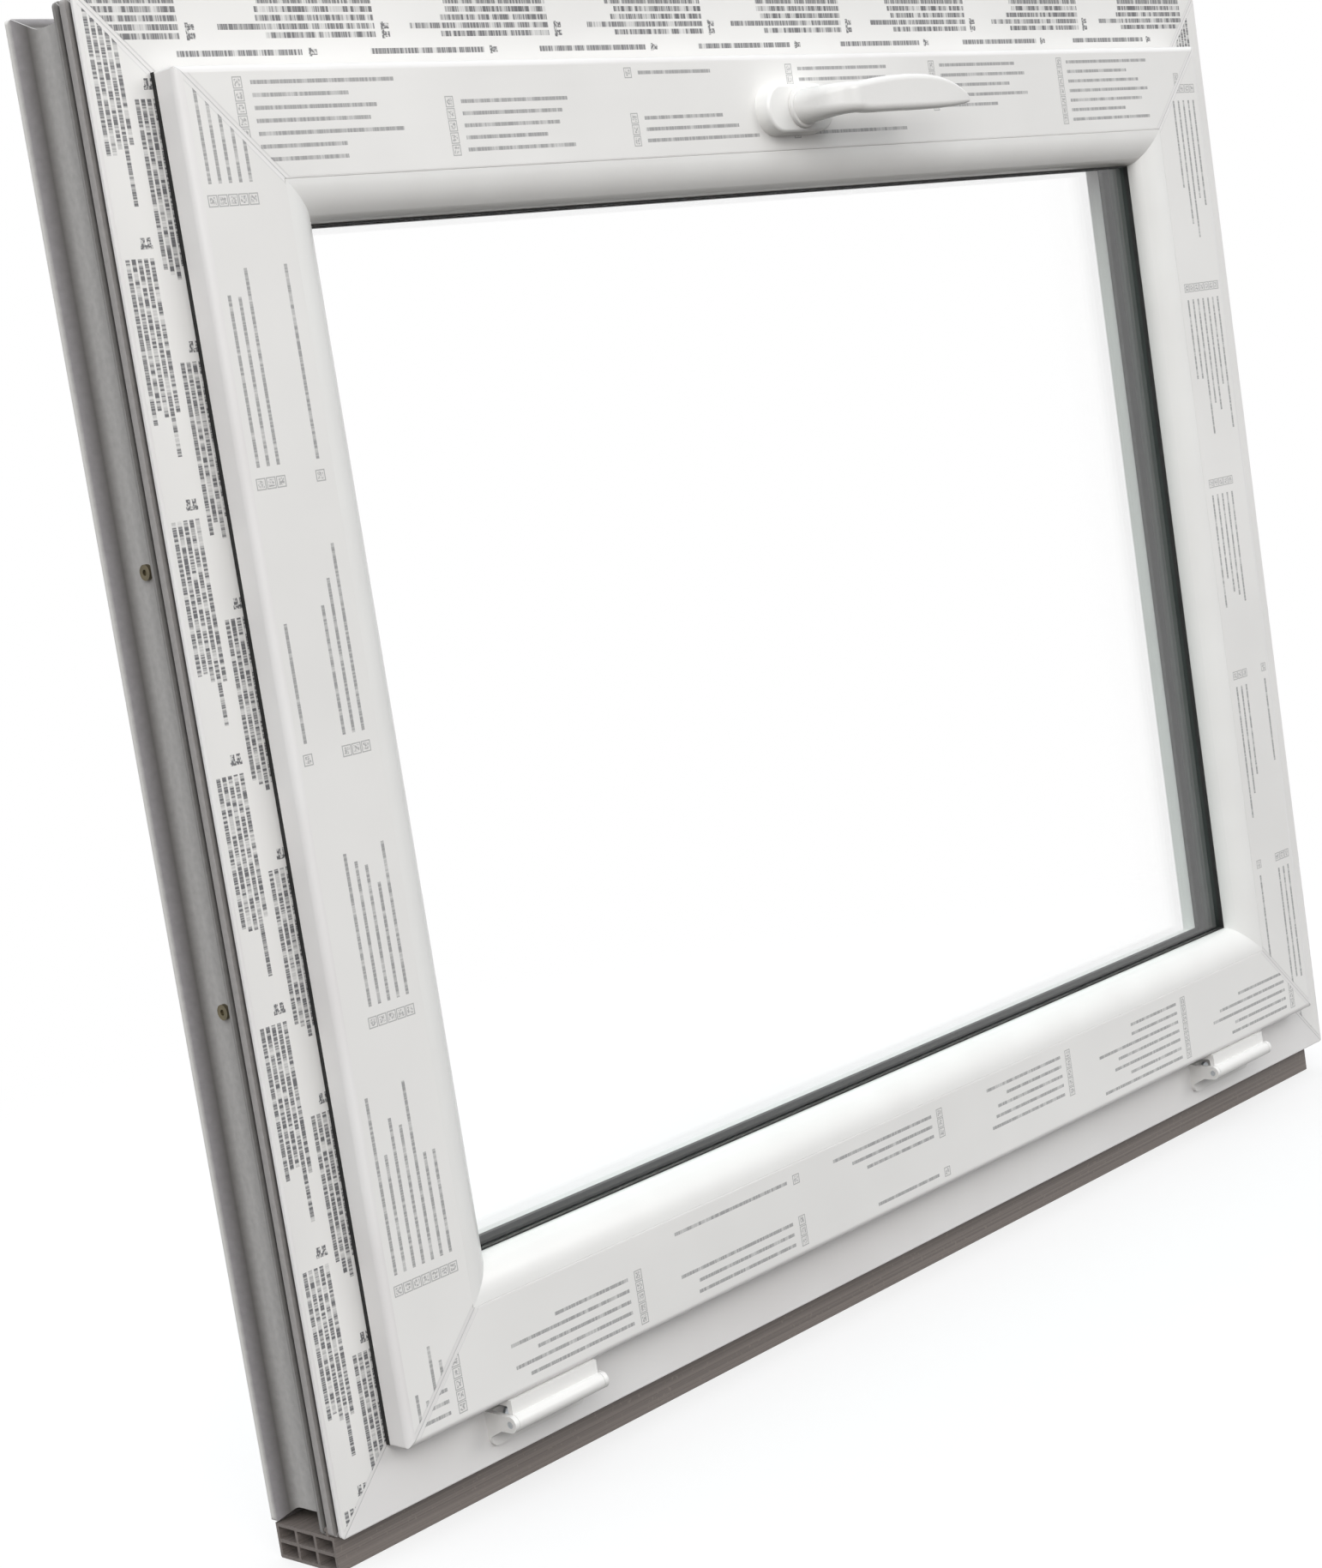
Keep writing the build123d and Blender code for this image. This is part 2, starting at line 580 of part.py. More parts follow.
def hinge_pins():
    return group(barrel(x0, x0 + HINGE_LENGTH, HINGE_PIN_RADIUS) for x0 in hinge_starts().values())


def hinge_frame_screws():
    screws = []
    for name in hinge_starts():
        for x in frame_leaf_screw_places(name):
            head = depth_rod(x, AXIS_Z, (-BASE_THICK - 2.0, -BASE_THICK), 3.6)
            shank = depth_rod(x, AXIS_Z, (-BASE_THICK, WALL + 4.0), SCREW_SHANK)
            screws.append(head + shank)
    return group(screws)


def hinge_sash_screws():
    screws = []
    for x in hinge_screw_places():
        head = stud("sill", HINGE_SCREW_U, (FLANGE_V[0] - 1.2, FLANGE_V[0]), x, 2.9)
        shank = stud("sill", HINGE_SCREW_U, (FLANGE_V[0], FRAME_IN_VIEW + 8.0), x, SCREW_SHANK)
        screws.append(head + shank)
    return group(screws)


# ---------------------------------------------------------------- gearbox, drive rail and keeps

CAM_X = 300.0
CAM_PIN = 3.0
CAM_ROLLER = 4.5
CAM_TIP_V = 50.5
TRAVEL = PITCH_RADIUS * radians(LEVER_TURN)
RAIL_V = (SASH_EDGE + PLATE_THICK + 0.4, SASH_EDGE + PLATE_THICK + 2.9)
PITCH_V = HANDLE_V - PITCH_RADIUS
FACEPLATE_SCREW_X = 390.0
FACEPLATE_HALF = 400.0
RAIL_HALF = 372.0
SCREW_END_V = SASH_STEEL_V[0] + STEEL + 3.0
KEEP_HALF = 30.0
KEEP_SHIFT = 5.0


def keep_screw_places():
    """Row x of the keep screws, two for each keep."""
    return [x + KEEP_SHIFT + side * (KEEP_HALF - 6.0) for x in (-CAM_X, CAM_X) for side in (-1, 1)]


def pinion():
    """Involute gear on a hub with a square hole; it turns in the gearbox with the spindle."""
    alpha = radians(GEAR_PRESSURE_ANGLE)
    base_radius = PITCH_RADIUS * cos(alpha)
    half_tooth = pi / (2 * GEAR_TEETH) - 0.012
    flank_zero = half_tooth + tan(alpha) - alpha
    steps = 5
    start = max(base_radius, ROOT_RADIUS)
    points = []
    for tooth in range(GEAR_TEETH):
        middle = 2 * pi * tooth / GEAR_TEETH
        flank = []
        for n in range(steps):
            radius = start + (TIP_RADIUS - start) * n / (steps - 1)
            roll = (radius / base_radius) ** 2 - 1
            angle = flank_zero - (roll ** 0.5 - atan2(roll ** 0.5, 1))
            flank.append((radius, angle))
        root_angle = flank[0][1]
        points.append((ROOT_RADIUS, middle - root_angle))
        points += [(radius, middle - angle) for radius, angle in flank]
        points += [(radius, middle + angle) for radius, angle in reversed(flank)]
        points.append((ROOT_RADIUS, middle + root_angle))
    profile = make_face(Polyline(*[(r * sin(a), r * cos(a)) for r, a in points], close=True))
    plane = Plane((HANDLE_X, ROOM + HARDWARE_U + 4.0, HANDLE_Z), x_dir=(1, 0, 0), z_dir=(0, -1, 0))
    gear = extrude(plane * profile, 8.0)
    gear += depth_rod(HANDLE_X, HANDLE_Z, (CASE_U[0] + 0.1, CASE_U[1] - 0.1), 6.0)
    return gear - square_rod(7.04, (CASE_U[0] - 1, CASE_U[1] + 1))


def square_rod(side, u_span):
    middle = ROOM + (u_span[0] + u_span[1]) / 2
    return Pos(HANDLE_X, middle, HANDLE_Z) * Box(side, u_span[1] - u_span[0], side)


def gearbox_case():
    """Case milled into the sash edge; the pinion sits in its cavity, open to the rack above."""
    case = block("head", (CASE_U[0] + COVER_THICK, CASE_U[1]), CASE_V,
                 (HANDLE_X - CASE_HALF, HANDLE_X + CASE_HALF))
    case -= depth_rod(HANDLE_X, HANDLE_Z, (CASE_U[0], CASE_U[1] - COVER_THICK), TIP_RADIUS + 0.7)
    case -= depth_rod(HANDLE_X, HANDLE_Z, (CASE_U[0], CASE_U[1] + 1), 6.0 + RUNNING)
    return case - gearbox_screw_holes()


def gearbox_cover():
    cover = block("head", (CASE_U[0], CASE_U[0] + COVER_THICK), CASE_V,
                  (HANDLE_X - CASE_HALF, HANDLE_X + CASE_HALF))
    cover -= depth_rod(HANDLE_X, HANDLE_Z, (CASE_U[0] - 1, CASE_U[1]), 6.0 + RUNNING)
    return cover - gearbox_screw_holes()


def gearbox_screw_holes():
    holes = [depth_rod(HANDLE_X + x, HANDLE_Z, (CASE_U[0] - 1, CASE_U[0] + 8.5), 2.5 + RUNNING)
             for x in (-HANDLE_SCREW_PITCH / 2, HANDLE_SCREW_PITCH / 2)]
    return holes[0] + holes[1]


def faceplate():
    """Strip that closes the hardware groove, with a slot for each cam."""
    plate = block("head", (HARDWARE_U - PLATE_WIDTH / 2 + 0.2, HARDWARE_U + PLATE_WIDTH / 2 - 0.2),
                  (SASH_EDGE, PLATE_FLOOR), (-FACEPLATE_HALF, FACEPLATE_HALF))
    plate = fillet(plate.edges().filter_by(Axis.Z), 6.0)
    for x in (-CAM_X, CAM_X):
        plane = Plane(at("head", HARDWARE_U, SASH_EDGE - 1, x + TRAVEL / 2), x_dir=(1, 0, 0), z_dir=(0, 0, -1))
        slot = SlotOverall(TRAVEL + 2 * CAM_PIN + 1.2, 2 * CAM_PIN + 0.6)
        plate -= extrude(plane * slot, PLATE_THICK + 2)
    for x in faceplate_screw_places():
        plate -= stud("head", HARDWARE_U, (SASH_EDGE - 1, SASH_EDGE + PLATE_THICK + 1), x, SCREW_SHANK + RUNNING)
    return plate


def faceplate_screw_places():
    return (-FACEPLATE_SCREW_X, FACEPLATE_SCREW_X)


def faceplate_screw_holes():
    holes = [stud("head", HARDWARE_U, (SASH_EDGE, SCREW_END_V + 0.5), x, SCREW_SHANK + RUNNING)
             for x in faceplate_screw_places()]
    return holes[0] + holes[1]


def faceplate_screws():
    """Screws past the ends of the drive rail, through the plate into the sash's steel."""
    screws = []
    for x in faceplate_screw_places():
        head = stud("head", HARDWARE_U, (SASH_EDGE - 1.6, SASH_EDGE), x, 3.4)
        shank = stud("head", HARDWARE_U, (SASH_EDGE, SCREW_END_V), x, SCREW_SHANK)
        screws.append(head + shank)
    return group(screws)


def drive_rail():
    """Flat rail behind the faceplate, with a rack over the pinion."""
    root_v = PITCH_V - 1.25 * GEAR_MODULE
    rail = block("head", (HARDWARE_U - 5, HARDWARE_U + 5), RAIL_V, (-RAIL_HALF, RAIL_HALF))
    rack_u = (HARDWARE_U - 3.5, HARDWARE_U + 3.5)
    pitch = pi * GEAR_MODULE
    first = -5.5
    last = 2.5
    rack_span = (HANDLE_X + (first - 0.5) * pitch, HANDLE_X + (last + 0.5) * pitch)
    rail -= block("head", (HARDWARE_U - 6, HARDWARE_U + 6), (root_v, RAIL_V[1] + 1), rack_span)
    rise = tan(radians(GEAR_PRESSURE_ANGLE))
    half = pitch / 4 - 0.05
    tip = GEAR_MODULE
    root = 1.25 * GEAR_MODULE
    for n in range(int(last - first) + 1):
        x = HANDLE_X + (first + n) * pitch
        corners = [(x - half - root * rise, TOP - root_v), (x + half + root * rise, TOP - root_v),
                   (x + half - tip * rise, TOP - PITCH_V - tip), (x - half + tip * rise, TOP - PITCH_V - tip)]
        plane = Plane((0, ROOM + rack_u[1], 0), x_dir=(1, 0, 0), z_dir=(0, -1, 0))
        rail += extrude(plane * make_face(Polyline(*corners, close=True)), rack_u[1] - rack_u[0])
    for x in (-CAM_X, CAM_X):
        rail += stud("head", HARDWARE_U, (CAM_TIP_V + 0.8, RAIL_V[0]), x, CAM_PIN - 0.6)
    return rail


def cam_rollers():
    """Locking rollers on the studs of the drive rail."""
    rollers = []
    for x in (-CAM_X, CAM_X):
        roller = stud("head", HARDWARE_U, (CAM_TIP_V, SASH_EDGE - 0.6), x, CAM_ROLLER)
        roller = fillet(roller.faces().sort_by(Axis.Z)[-1].edges(), 1.0)
        rollers.append(roller - stud("head", HARDWARE_U, (CAM_TIP_V + 0.8, SASH_EDGE), x, CAM_PIN - 0.55))
    return group(rollers)


def keep_plates():
    """Keeps on the frame head: a base and the back wall that the roller runs along."""
    keeps = []
    for x in (-CAM_X, CAM_X):
        middle = x + KEEP_SHIFT
        span = (middle - KEEP_HALF, middle + KEEP_HALF)
        base = block("head", (HARDWARE_U - 7, HARDWARE_U + 10), (REBATE, REBATE + 2.5), span)
        wall = block("head", (HARDWARE_U + 6.5, HARDWARE_U + 10), (REBATE, REBATE + 8.0),
                     (span[0] + 12, span[1] - 12))
        keep = base + wall
        for offset in (-KEEP_HALF + 6.0, KEEP_HALF - 6.0):
            keep -= stud("head", HARDWARE_U, (REBATE - 1, REBATE + 4), middle + offset, SCREW_SHANK + RUNNING)
        keeps.append(keep)
    return group(keeps)


def keep_screws():
    screws = []
    for x in keep_screw_places():
        head = stud("head", HARDWARE_U, (REBATE + 2.5, REBATE + 3.7), x, 3.4)
        shank = stud("head", HARDWARE_U, (REBATE - 10, REBATE + 2.5), x, SCREW_SHANK)
        screws.append(head + shank)
    return group(screws)


# ---------------------------------------------------------------- handle

ROSETTE = (64.0, 31.0)
ROSETTE_THICK = 10.0
BASE_PLATE = 6.0
COLLAR_RADIUS = 12.5
LEVER_U = -62.0                # middle of the grip
ELBOW = 14.0                   # bend radius at the middle of the neck


def rosette_plane(u):
    return Plane((HANDLE_X, ROOM + u, HANDLE_Z), x_dir=(1, 0, 0), z_dir=(0, -1, 0))


def rosette_base():
    """Cast plate screwed through the sash face into the gearbox."""
    plate = extrude(rosette_plane(FACE_U) * SlotOverall(ROSETTE[0] - 6, ROSETTE[1] - 6), BASE_PLATE)
    plate -= depth_rod(HANDLE_X, HANDLE_Z, (FACE_U - 7, FACE_U + 1), 8.0 + RUNNING)
    for x in (-HANDLE_SCREW_PITCH / 2, HANDLE_SCREW_PITCH / 2):
        plate -= depth_rod(HANDLE_X + x, HANDLE_Z, (FACE_U - 7, FACE_U + 1), 2.5 + RUNNING)
    return plate


def rosette_cover():
    """Cap with a crowned rim that hides the base and its screws."""
    shell = extrude(rosette_plane(FACE_U) * SlotOverall(*ROSETTE), ROSETTE_THICK, taper=7)
    shell = fillet(shell.faces().sort_by(Axis.Y)[0].edges(), 2.0)
    shell -= extrude(rosette_plane(FACE_U + 1) * SlotOverall(ROSETTE[0] - 5, ROSETTE[1] - 5),
                     ROSETTE_THICK - 1.0)
    return shell - depth_rod(HANDLE_X, HANDLE_Z, (FACE_U - ROSETTE_THICK - 1, FACE_U), 10.0 + RUNNING)


def handle_screws():
    screws = []
    for x in (-HANDLE_SCREW_PITCH / 2, HANDLE_SCREW_PITCH / 2):
        head = depth_rod(HANDLE_X + x, HANDLE_Z, (FACE_U - BASE_PLATE - 1.8, FACE_U - BASE_PLATE), 4.0)
        shank = depth_rod(HANDLE_X + x, HANDLE_Z, (FACE_U - BASE_PLATE, CASE_U[0] + 8.0), 2.5)
        screws.append(head + shank)
    return group(screws)


def lever_section(along, u, turn, thick, high, softness, lift=0.0):
    """Rounded section of the lever, turned from facing the room (0) to facing along the rail (90)."""
    angle = radians(turn)
    normal = Vector(sin(angle), -cos(angle), 0)
    centre = (HANDLE_X + along, ROOM + u, HANDLE_Z + lift)
    plane = Plane(centre, x_dir=Vector(0, 0, 1).cross(normal), z_dir=normal)
    return plane * RectangleRounded(thick, high, softness * thick / 2)


def handle_lever():
    """Cast lever: a collar, a neck that bends over the rosette, and a flat-faced paddle grip."""
    collar_u = FACE_U - ROSETTE_THICK - 0.2
    collar = depth_rod(HANDLE_X, HANDLE_Z, (collar_u - 3.0, collar_u), COLLAR_RADIUS)
    collar = fillet(collar.faces().sort_by(Axis.Y)[0].edges(), 1.0)
    journal = depth_rod(HANDLE_X, HANDLE_Z, (collar_u, FACE_U - BASE_PLATE - 0.2), 10.0)
    journal += depth_rod(HANDLE_X, HANDLE_Z, (FACE_U - BASE_PLATE - 0.2, FACE_U - 0.5), 8.0)
    turned = []
    for turn, thick, high in ((0, 18.0, 20.0), (30, 15.5, 19.2), (60, 13.0, 18.6), (90, 11.0, 18.4)):
        angle = radians(turn)
        along = ELBOW * (1 - cos(angle))
        turned.append(lever_section(along, LEVER_U + ELBOW * (1 - sin(angle)), turn, thick, high, 0.85))
    neck = loft([lever_section(0, collar_u - 2.5, 0, 21.5, 21.5, 0.99), turned[0]])
    bend = loft(turned)
    stations = [
        (30.0, 9.8, 20.4, 0.6), (54.0, 9.2, 21.8, 1.6), (78.0, 8.8, 21.6, 1.7), (94.0, 8.2, 19.6, 1.1),
        (108.0, 7.2, 15.4, -0.3), (118.0, 5.8, 10.0, -2.0), (LEVER_REACH, 3.2, 4.4, -3.6),
    ]
    grip = loft([turned[-1]] + [
        lever_section(along, LEVER_U, 90, thick, high, 0.85, lift)
        for along, thick, high, lift in stations
    ])
    lever = collar + journal + neck + bend + grip
    return lever - square_rod(7.04, (-40.0, FACE_U))


def spindle():
    return square_rod(6.98, (-39.8, CASE_U[1] + 0.3))


# ---------------------------------------------------------------- tilt stays

STAY_U = 6.0
STAY_WIDTH = 14.0
STAY_THICK = 2.0
FRAME_LINK_V = (REBATE + 2.0, REBATE + 4.0)
SASH_LINK_V = (REBATE + 7.0, REBATE + 9.0)
STAY_STUD = 3.0
STAY_HEAD = 4.5
KNEE_PIN = 2.5
KNEE_CLEARANCE = 1.0           # the knee is the open pivot of the linkage


def stay_axis():
    """Unit vector from the hinge axis towards the stay pivots, as (u, z)."""
    du = STAY_U - AXIS_U
    return du / hypot(du, STAY_HEIGHT), STAY_HEIGHT / hypot(du, STAY_HEIGHT)


def stay_pivot():
    """Pivot as (u, along) on a jamb or stile."""
    return STAY_U, AXIS_Z + STAY_HEIGHT - MID


def stay_knee():
    u, along = stay_pivot()
    du, dz = stay_axis()
    return u + STAY_LINK * du, along + STAY_LINK * dz


def stay_ratio():
    """Turn of each link for one degree of sash tilt, exact at both ends of the travel."""
    arm = hypot(STAY_U - AXIS_U, STAY_HEIGHT)
    half = radians(SASH_TILT / 2)
    return (SASH_TILT / 2 + degrees(asin(arm * sin(half) / STAY_LINK))) / SASH_TILT


def link_bar(side, v_span):
    """Flat link between the pivot and the knee, with rounded ends."""
    u, along = stay_pivot()
    start = at(side, u, v_span[0], along)
    u, along = stay_knee()
    end = at(side, u, v_span[0], along)
    run = end - start
    normal = inward(side)
    plane = Plane((start + end) / 2, x_dir=run, z_dir=normal)
    return extrude(plane * SlotCenterToCenter(run.length, STAY_WIDTH), v_span[1] - v_span[0])


def stay_frame_link(side):
    link = link_bar(side, FRAME_LINK_V)
    u, along = stay_pivot()
    link -= stud(side, u, (FRAME_LINK_V[0] - 1, FRAME_LINK_V[1] + 1), along, STAY_STUD + RUNNING)
    u, along = stay_knee()
    return link - stud(side, u, (FRAME_LINK_V[0] - 1, FRAME_LINK_V[1] + 1), along, KNEE_PIN + KNEE_CLEARANCE)


def stay_sash_link(side):
    link = link_bar(side, SASH_LINK_V)
    u, along = stay_pivot()
    link -= stud(side, u, (SASH_LINK_V[0] - 1, SASH_LINK_V[1] + 1), along, STAY_STUD + RUNNING)
    u, along = stay_knee()
    link += stud(side, u, (FRAME_LINK_V[0] - 0.5, SASH_LINK_V[0]), along, KNEE_PIN)
    return link + stud(side, u, (FRAME_LINK_V[0] - 1.4, FRAME_LINK_V[0] - 0.4), along, STAY_HEAD)


def stay_frame_bracket(side):
    u, along = stay_pivot()
    plate = block(side, (u - 3.0, u + 13.0), (REBATE, REBATE + 1.5), (along - 30.0, along + 12.0))
    plate += stud(side, u, (REBATE + 1.5, FRAME_LINK_V[1] + 0.3), along, STAY_STUD)
    return plate + stud(side, u, (FRAME_LINK_V[1] + 0.3, FRAME_LINK_V[1] + 1.2), along, STAY_HEAD)


def stay_sash_bracket(side):
    u, along = stay_pivot()
    plate = block(side, (u - 8.0, u + 8.0), (SASH_EDGE - 1.5, SASH_EDGE), (along - 30.0, along + 12.0))
    plate += stud(side, u, (SASH_LINK_V[0] - 0.3, SASH_EDGE - 1.5), along, STAY_STUD)
    return plate + stud(side, u, (SASH_LINK_V[0] - 1.2, SASH_LINK_V[0] - 0.3), along, STAY_HEAD)


# ---------------------------------------------------------------- write the parts

BAR_NAMES = {"head": "head", "sill": "sill", "left": "left_jamb", "right": "right_jamb"}
SASH_NAMES = {"head": "top_rail", "sill": "bottom_rail", "left": "left_stile", "right": "right_stile"}
EDGE_NAMES = {"head": "top", "sill": "bottom", "left": "left", "right": "right"}


def parts():
    made = {"sub_sill_profile": sub_sill_profile()}
    for side in SIDES:
        made["frame_" + BAR_NAMES[side]] = frame_bar(side)
        made["frame_steel_" + EDGE_NAMES[side]] = frame_steel(side)
        made["sash_" + SASH_NAMES[side]] = sash_bar(side)
        made["sash_steel_" + EDGE_NAMES[side]] = sash_steel(side)
        made["glazing_bead_" + EDGE_NAMES[side]] = glazing_bead(side)
    made["frame_steel_screws"] = frame_steel_screws()
    made["drainage_caps"] = drainage_caps()
    made["frame_seal"] = frame_seal()
    made["sash_lip_seal"] = lip_seal()
    made["bead_seal"] = bead_seal()
    made["outer_glazing_seal"] = outer_glazing_seal()
    made["inner_pane"] = pane(GLASS_ROOM_SIDE)
    made["outer_pane"] = pane(OUTER_PANE_U)
    made["spacer_bar"] = spacer_bar()
    made["edge_sealant"] = edge_sealant()
    made["setting_blocks"] = setting_blocks()
    for name in ("left", "right"):
        made["frame_hinge_leaf_" + name] = frame_hinge_leaf(name)
        made["sash_hinge_leaf_" + name] = sash_hinge_leaf(name)
        made["stay_frame_link_" + name] = stay_frame_link(name)
        made["stay_sash_link_" + name] = stay_sash_link(name)
    made["stay_frame_brackets"] = group(stay_frame_bracket(side) for side in ("left", "right"))
    made["stay_sash_brackets"] = group(stay_sash_bracket(side) for side in ("left", "right"))
    made["hinge_pins"] = hinge_pins()
    made["hinge_frame_screws"] = hinge_frame_screws()
    made["hinge_sash_screws"] = hinge_sash_screws()
    made["gearbox_case"] = gearbox_case()
    made["gearbox_cover"] = gearbox_cover()
    made["gearbox_pinion"] = pinion()
    made["faceplate"] = faceplate()
    made["faceplate_screws"] = faceplate_screws()
    made["drive_rail"] = drive_rail()
    made["cam_rollers"] = cam_rollers()
    made["keep_plates"] = keep_plates()
    made["keep_screws"] = keep_screws()
    made["rosette_base"] = rosette_base()
    made["rosette_cover"] = rosette_cover()
    made["handle_screws"] = handle_screws()
    made["handle_lever"] = handle_lever()
    made["handle_spindle"] = spindle()
    return made


os.makedirs("parts", exist_ok=True)
for node, shape in parts().items():
    export_step(shape, f"parts/{node}.step")
print("stay ratio", round(stay_ratio(), 4), "rail travel", round(TRAVEL, 3), "mm")
print("stay pivot y z", round(ROOM + STAY_U, 3), round(AXIS_Z + STAY_HEIGHT, 3))
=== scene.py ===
from math import pi, radians

import bpy
from mathutils import Matrix, Vector


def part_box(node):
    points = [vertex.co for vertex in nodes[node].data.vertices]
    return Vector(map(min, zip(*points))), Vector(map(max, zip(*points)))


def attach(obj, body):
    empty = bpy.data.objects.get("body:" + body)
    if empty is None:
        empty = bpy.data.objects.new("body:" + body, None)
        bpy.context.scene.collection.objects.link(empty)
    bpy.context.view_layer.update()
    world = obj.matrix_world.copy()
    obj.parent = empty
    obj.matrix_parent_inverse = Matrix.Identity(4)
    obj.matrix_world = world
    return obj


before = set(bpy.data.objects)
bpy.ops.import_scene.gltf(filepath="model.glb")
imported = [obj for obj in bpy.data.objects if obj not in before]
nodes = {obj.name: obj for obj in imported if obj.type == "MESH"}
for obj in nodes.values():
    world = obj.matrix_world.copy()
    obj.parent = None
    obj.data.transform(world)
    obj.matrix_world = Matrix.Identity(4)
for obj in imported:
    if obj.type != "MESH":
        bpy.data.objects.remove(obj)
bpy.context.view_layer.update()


# ---------------------------------------------------------------- camera

# The viewer stands to the left of the window, a little above its middle, and tips the camera a
# few degrees, so that the jambs lean.

EYE = Vector((-1.3279, -1.1731, 0.5739))
AHEAD = Vector((0.70302, 0.69920, -0.12994)).normalized()
ABOVE = Vector((0.19815, -0.01710, 0.98002))
SENSOR_MM = 36.0
LENS_MM = 63.41

bpy.ops.object.camera_add(location=EYE)
camera = bpy.context.object
camera.name = "camera"
across = AHEAD.cross(ABOVE).normalized()
axes = Matrix((across, across.cross(AHEAD), -AHEAD)).transposed()
camera.matrix_world = Matrix.Translation(EYE) @ axes.to_4x4()
camera.data.sensor_width = SENSOR_MM
camera.data.lens = LENS_MM
bpy.context.scene.camera = camera
bpy.context.scene.view_settings.view_transform = "Standard"


# ---------------------------------------------------------------- studio

# A pale floor under plain daylight: a sky that is brightest overhead, and three broad soft
# panels, two in front and one behind. The floor gives back little light, so that the undersides
# stay dark, and it shows white but keeps the window's shadow.

SKY_HORIZON = 0.55          # strength of the sky low down
SKY_OVERHEAD = 1.05
SKY_FULL = 0.8              # upward part of a direction from which on the sky is brightest
PANEL_AIM = Vector((0.0, 0.0, 0.4))
FLOOR_SIZE = 24.0
SHADE_REACH = 0.4           # within this of the window's middle the floor shows most shadow
WHITE_REACH = 1.3           # and beyond this it is plain white
SHADE_LIFT = 0.68           # share of plain white within the first reach


def linear(hex_colour):
    """sRGB hex as linear red, green, blue and alpha."""
    parts = [int(hex_colour[n:n + 2], 16) / 255 for n in (1, 3, 5)]
    return (*[p / 12.92 if p <= 0.04045 else ((p + 0.055) / 1.055) ** 2.4 for p in parts], 1.0)


def add(tree, kind, inputs=None, **settings):
    """A shader node with its settings, and its inputs set to values or linked to other nodes."""
    node = tree.nodes.new("ShaderNode" + kind)
    for name, value in settings.items():
        setattr(node, name, value)
    for name, value in (inputs or {}).items():
        if isinstance(value, bpy.types.Node):
            value = value.outputs[0]
        if isinstance(value, bpy.types.NodeSocket):
            tree.links.new(value, node.inputs[name])
        else:
            node.inputs[name].default_value = value
    return node


def new_material(name):
    """An empty material and its node tree."""
    material = bpy.data.materials.new(name)
    material.use_nodes = True
    material.node_tree.nodes.clear()
    return material, material.node_tree


def seen_white(tree):
    """1 for rays from the camera, through glass or off a gloss, 0 for those that light things."""
    rays = add(tree, "LightPath").outputs
    seen = rays["Is Camera Ray"]
    for ray in ("Is Transmission Ray", "Is Glossy Ray"):
        seen = add(tree, "Math", {0: seen, 1: rays[ray]}, operation="MAXIMUM")
    return seen


world = bpy.data.worlds.new("daylight")
bpy.context.scene.world = world
world.use_nodes = True
sky = world.node_tree
sky.nodes.clear()
upward = add(sky, "SeparateXYZ", {0: add(sky, "TexCoord").outputs["Generated"]}).outputs["Z"]
bright = add(sky, "MapRange", {"Value": upward, "From Min": 0.0, "From Max": SKY_FULL,
                               "To Min": SKY_HORIZON, "To Max": SKY_OVERHEAD})
ambient = add(sky, "Background", {"Color": linear("#f1f6fb"), "Strength": bright})
backdrop = add(sky, "Background", {"Color": linear("#ffffff"), "Strength": 1.0})
shown = add(sky, "MixShader", {0: seen_white(sky), 1: ambient, 2: backdrop})
add(sky, "OutputWorld", {"Surface": shown})

# Each panel's name, place, width, height and watts.
for name, place, width, height, watts in (
    ("panel_left", (-3.7, -3.8, 3.2), 5.4, 4.2, 194.0),
    ("panel_right", (2.4, -5.0, 2.8), 2.9, 2.2, 78.0),
    ("panel_back", (1.2, 5.2, 2.6), 2.9, 2.2, 100.0),
):
    bpy.ops.object.light_add(type="AREA", location=place)
    panel = bpy.context.object
    panel.name = name
    panel.data.shape = "RECTANGLE"
    panel.data.size = width
    panel.data.size_y = height
    panel.data.energy = watts
    panel.data.color = linear("#fffcf8")[:3]
    panel.rotation_euler = (PANEL_AIM - panel.location).to_track_quat("-Z", "Y").to_euler()

bpy.ops.mesh.primitive_plane_add(size=FLOOR_SIZE, location=(0, 0, 0))
floor = bpy.context.object
floor.name = "floor"
floor_paint, tree = new_material("matt_floor_paint")
seen = seen_white(tree)
place = add(tree, "TexCoord").outputs["Object"]
away = add(tree, "VectorMath", {0: place}, operation="LENGTH").outputs["Value"]
lift = add(tree, "MapRange", {"Value": away, "From Min": SHADE_REACH, "From Max": WHITE_REACH,
                              "To Min": SHADE_LIFT, "To Max": 1.0},
           interpolation_type="SMOOTHSTEP")
lift = add(tree, "Math", {0: seen, 1: lift}, operation="MULTIPLY")
tone = add(tree, "MixRGB", {"Fac": seen, "Color1": linear("#3a322d"),
                            "Color2": linear("#f6f6f6")})
paint = add(tree, "BsdfDiffuse", {"Color": tone})
white = add(tree, "Emission", {"Color": linear("#ffffff"), "Strength": 1.0})
add(tree, "OutputMaterial", {"Surface": add(tree, "MixShader", {0: lift, 1: paint, 2: white})})
floor.data.materials.append(floor_paint)


# ---------------------------------------------------------------- sub-sill profile

# Hollow base profile of reground PVC, extruded and clipped under the frame. Its sawn ends are
# open and show the chambers.

def dress(material, *names):
    """Gives CAD nodes a material."""
    for name in names:
        for slot in nodes[name].material_slots:
            slot.material = material


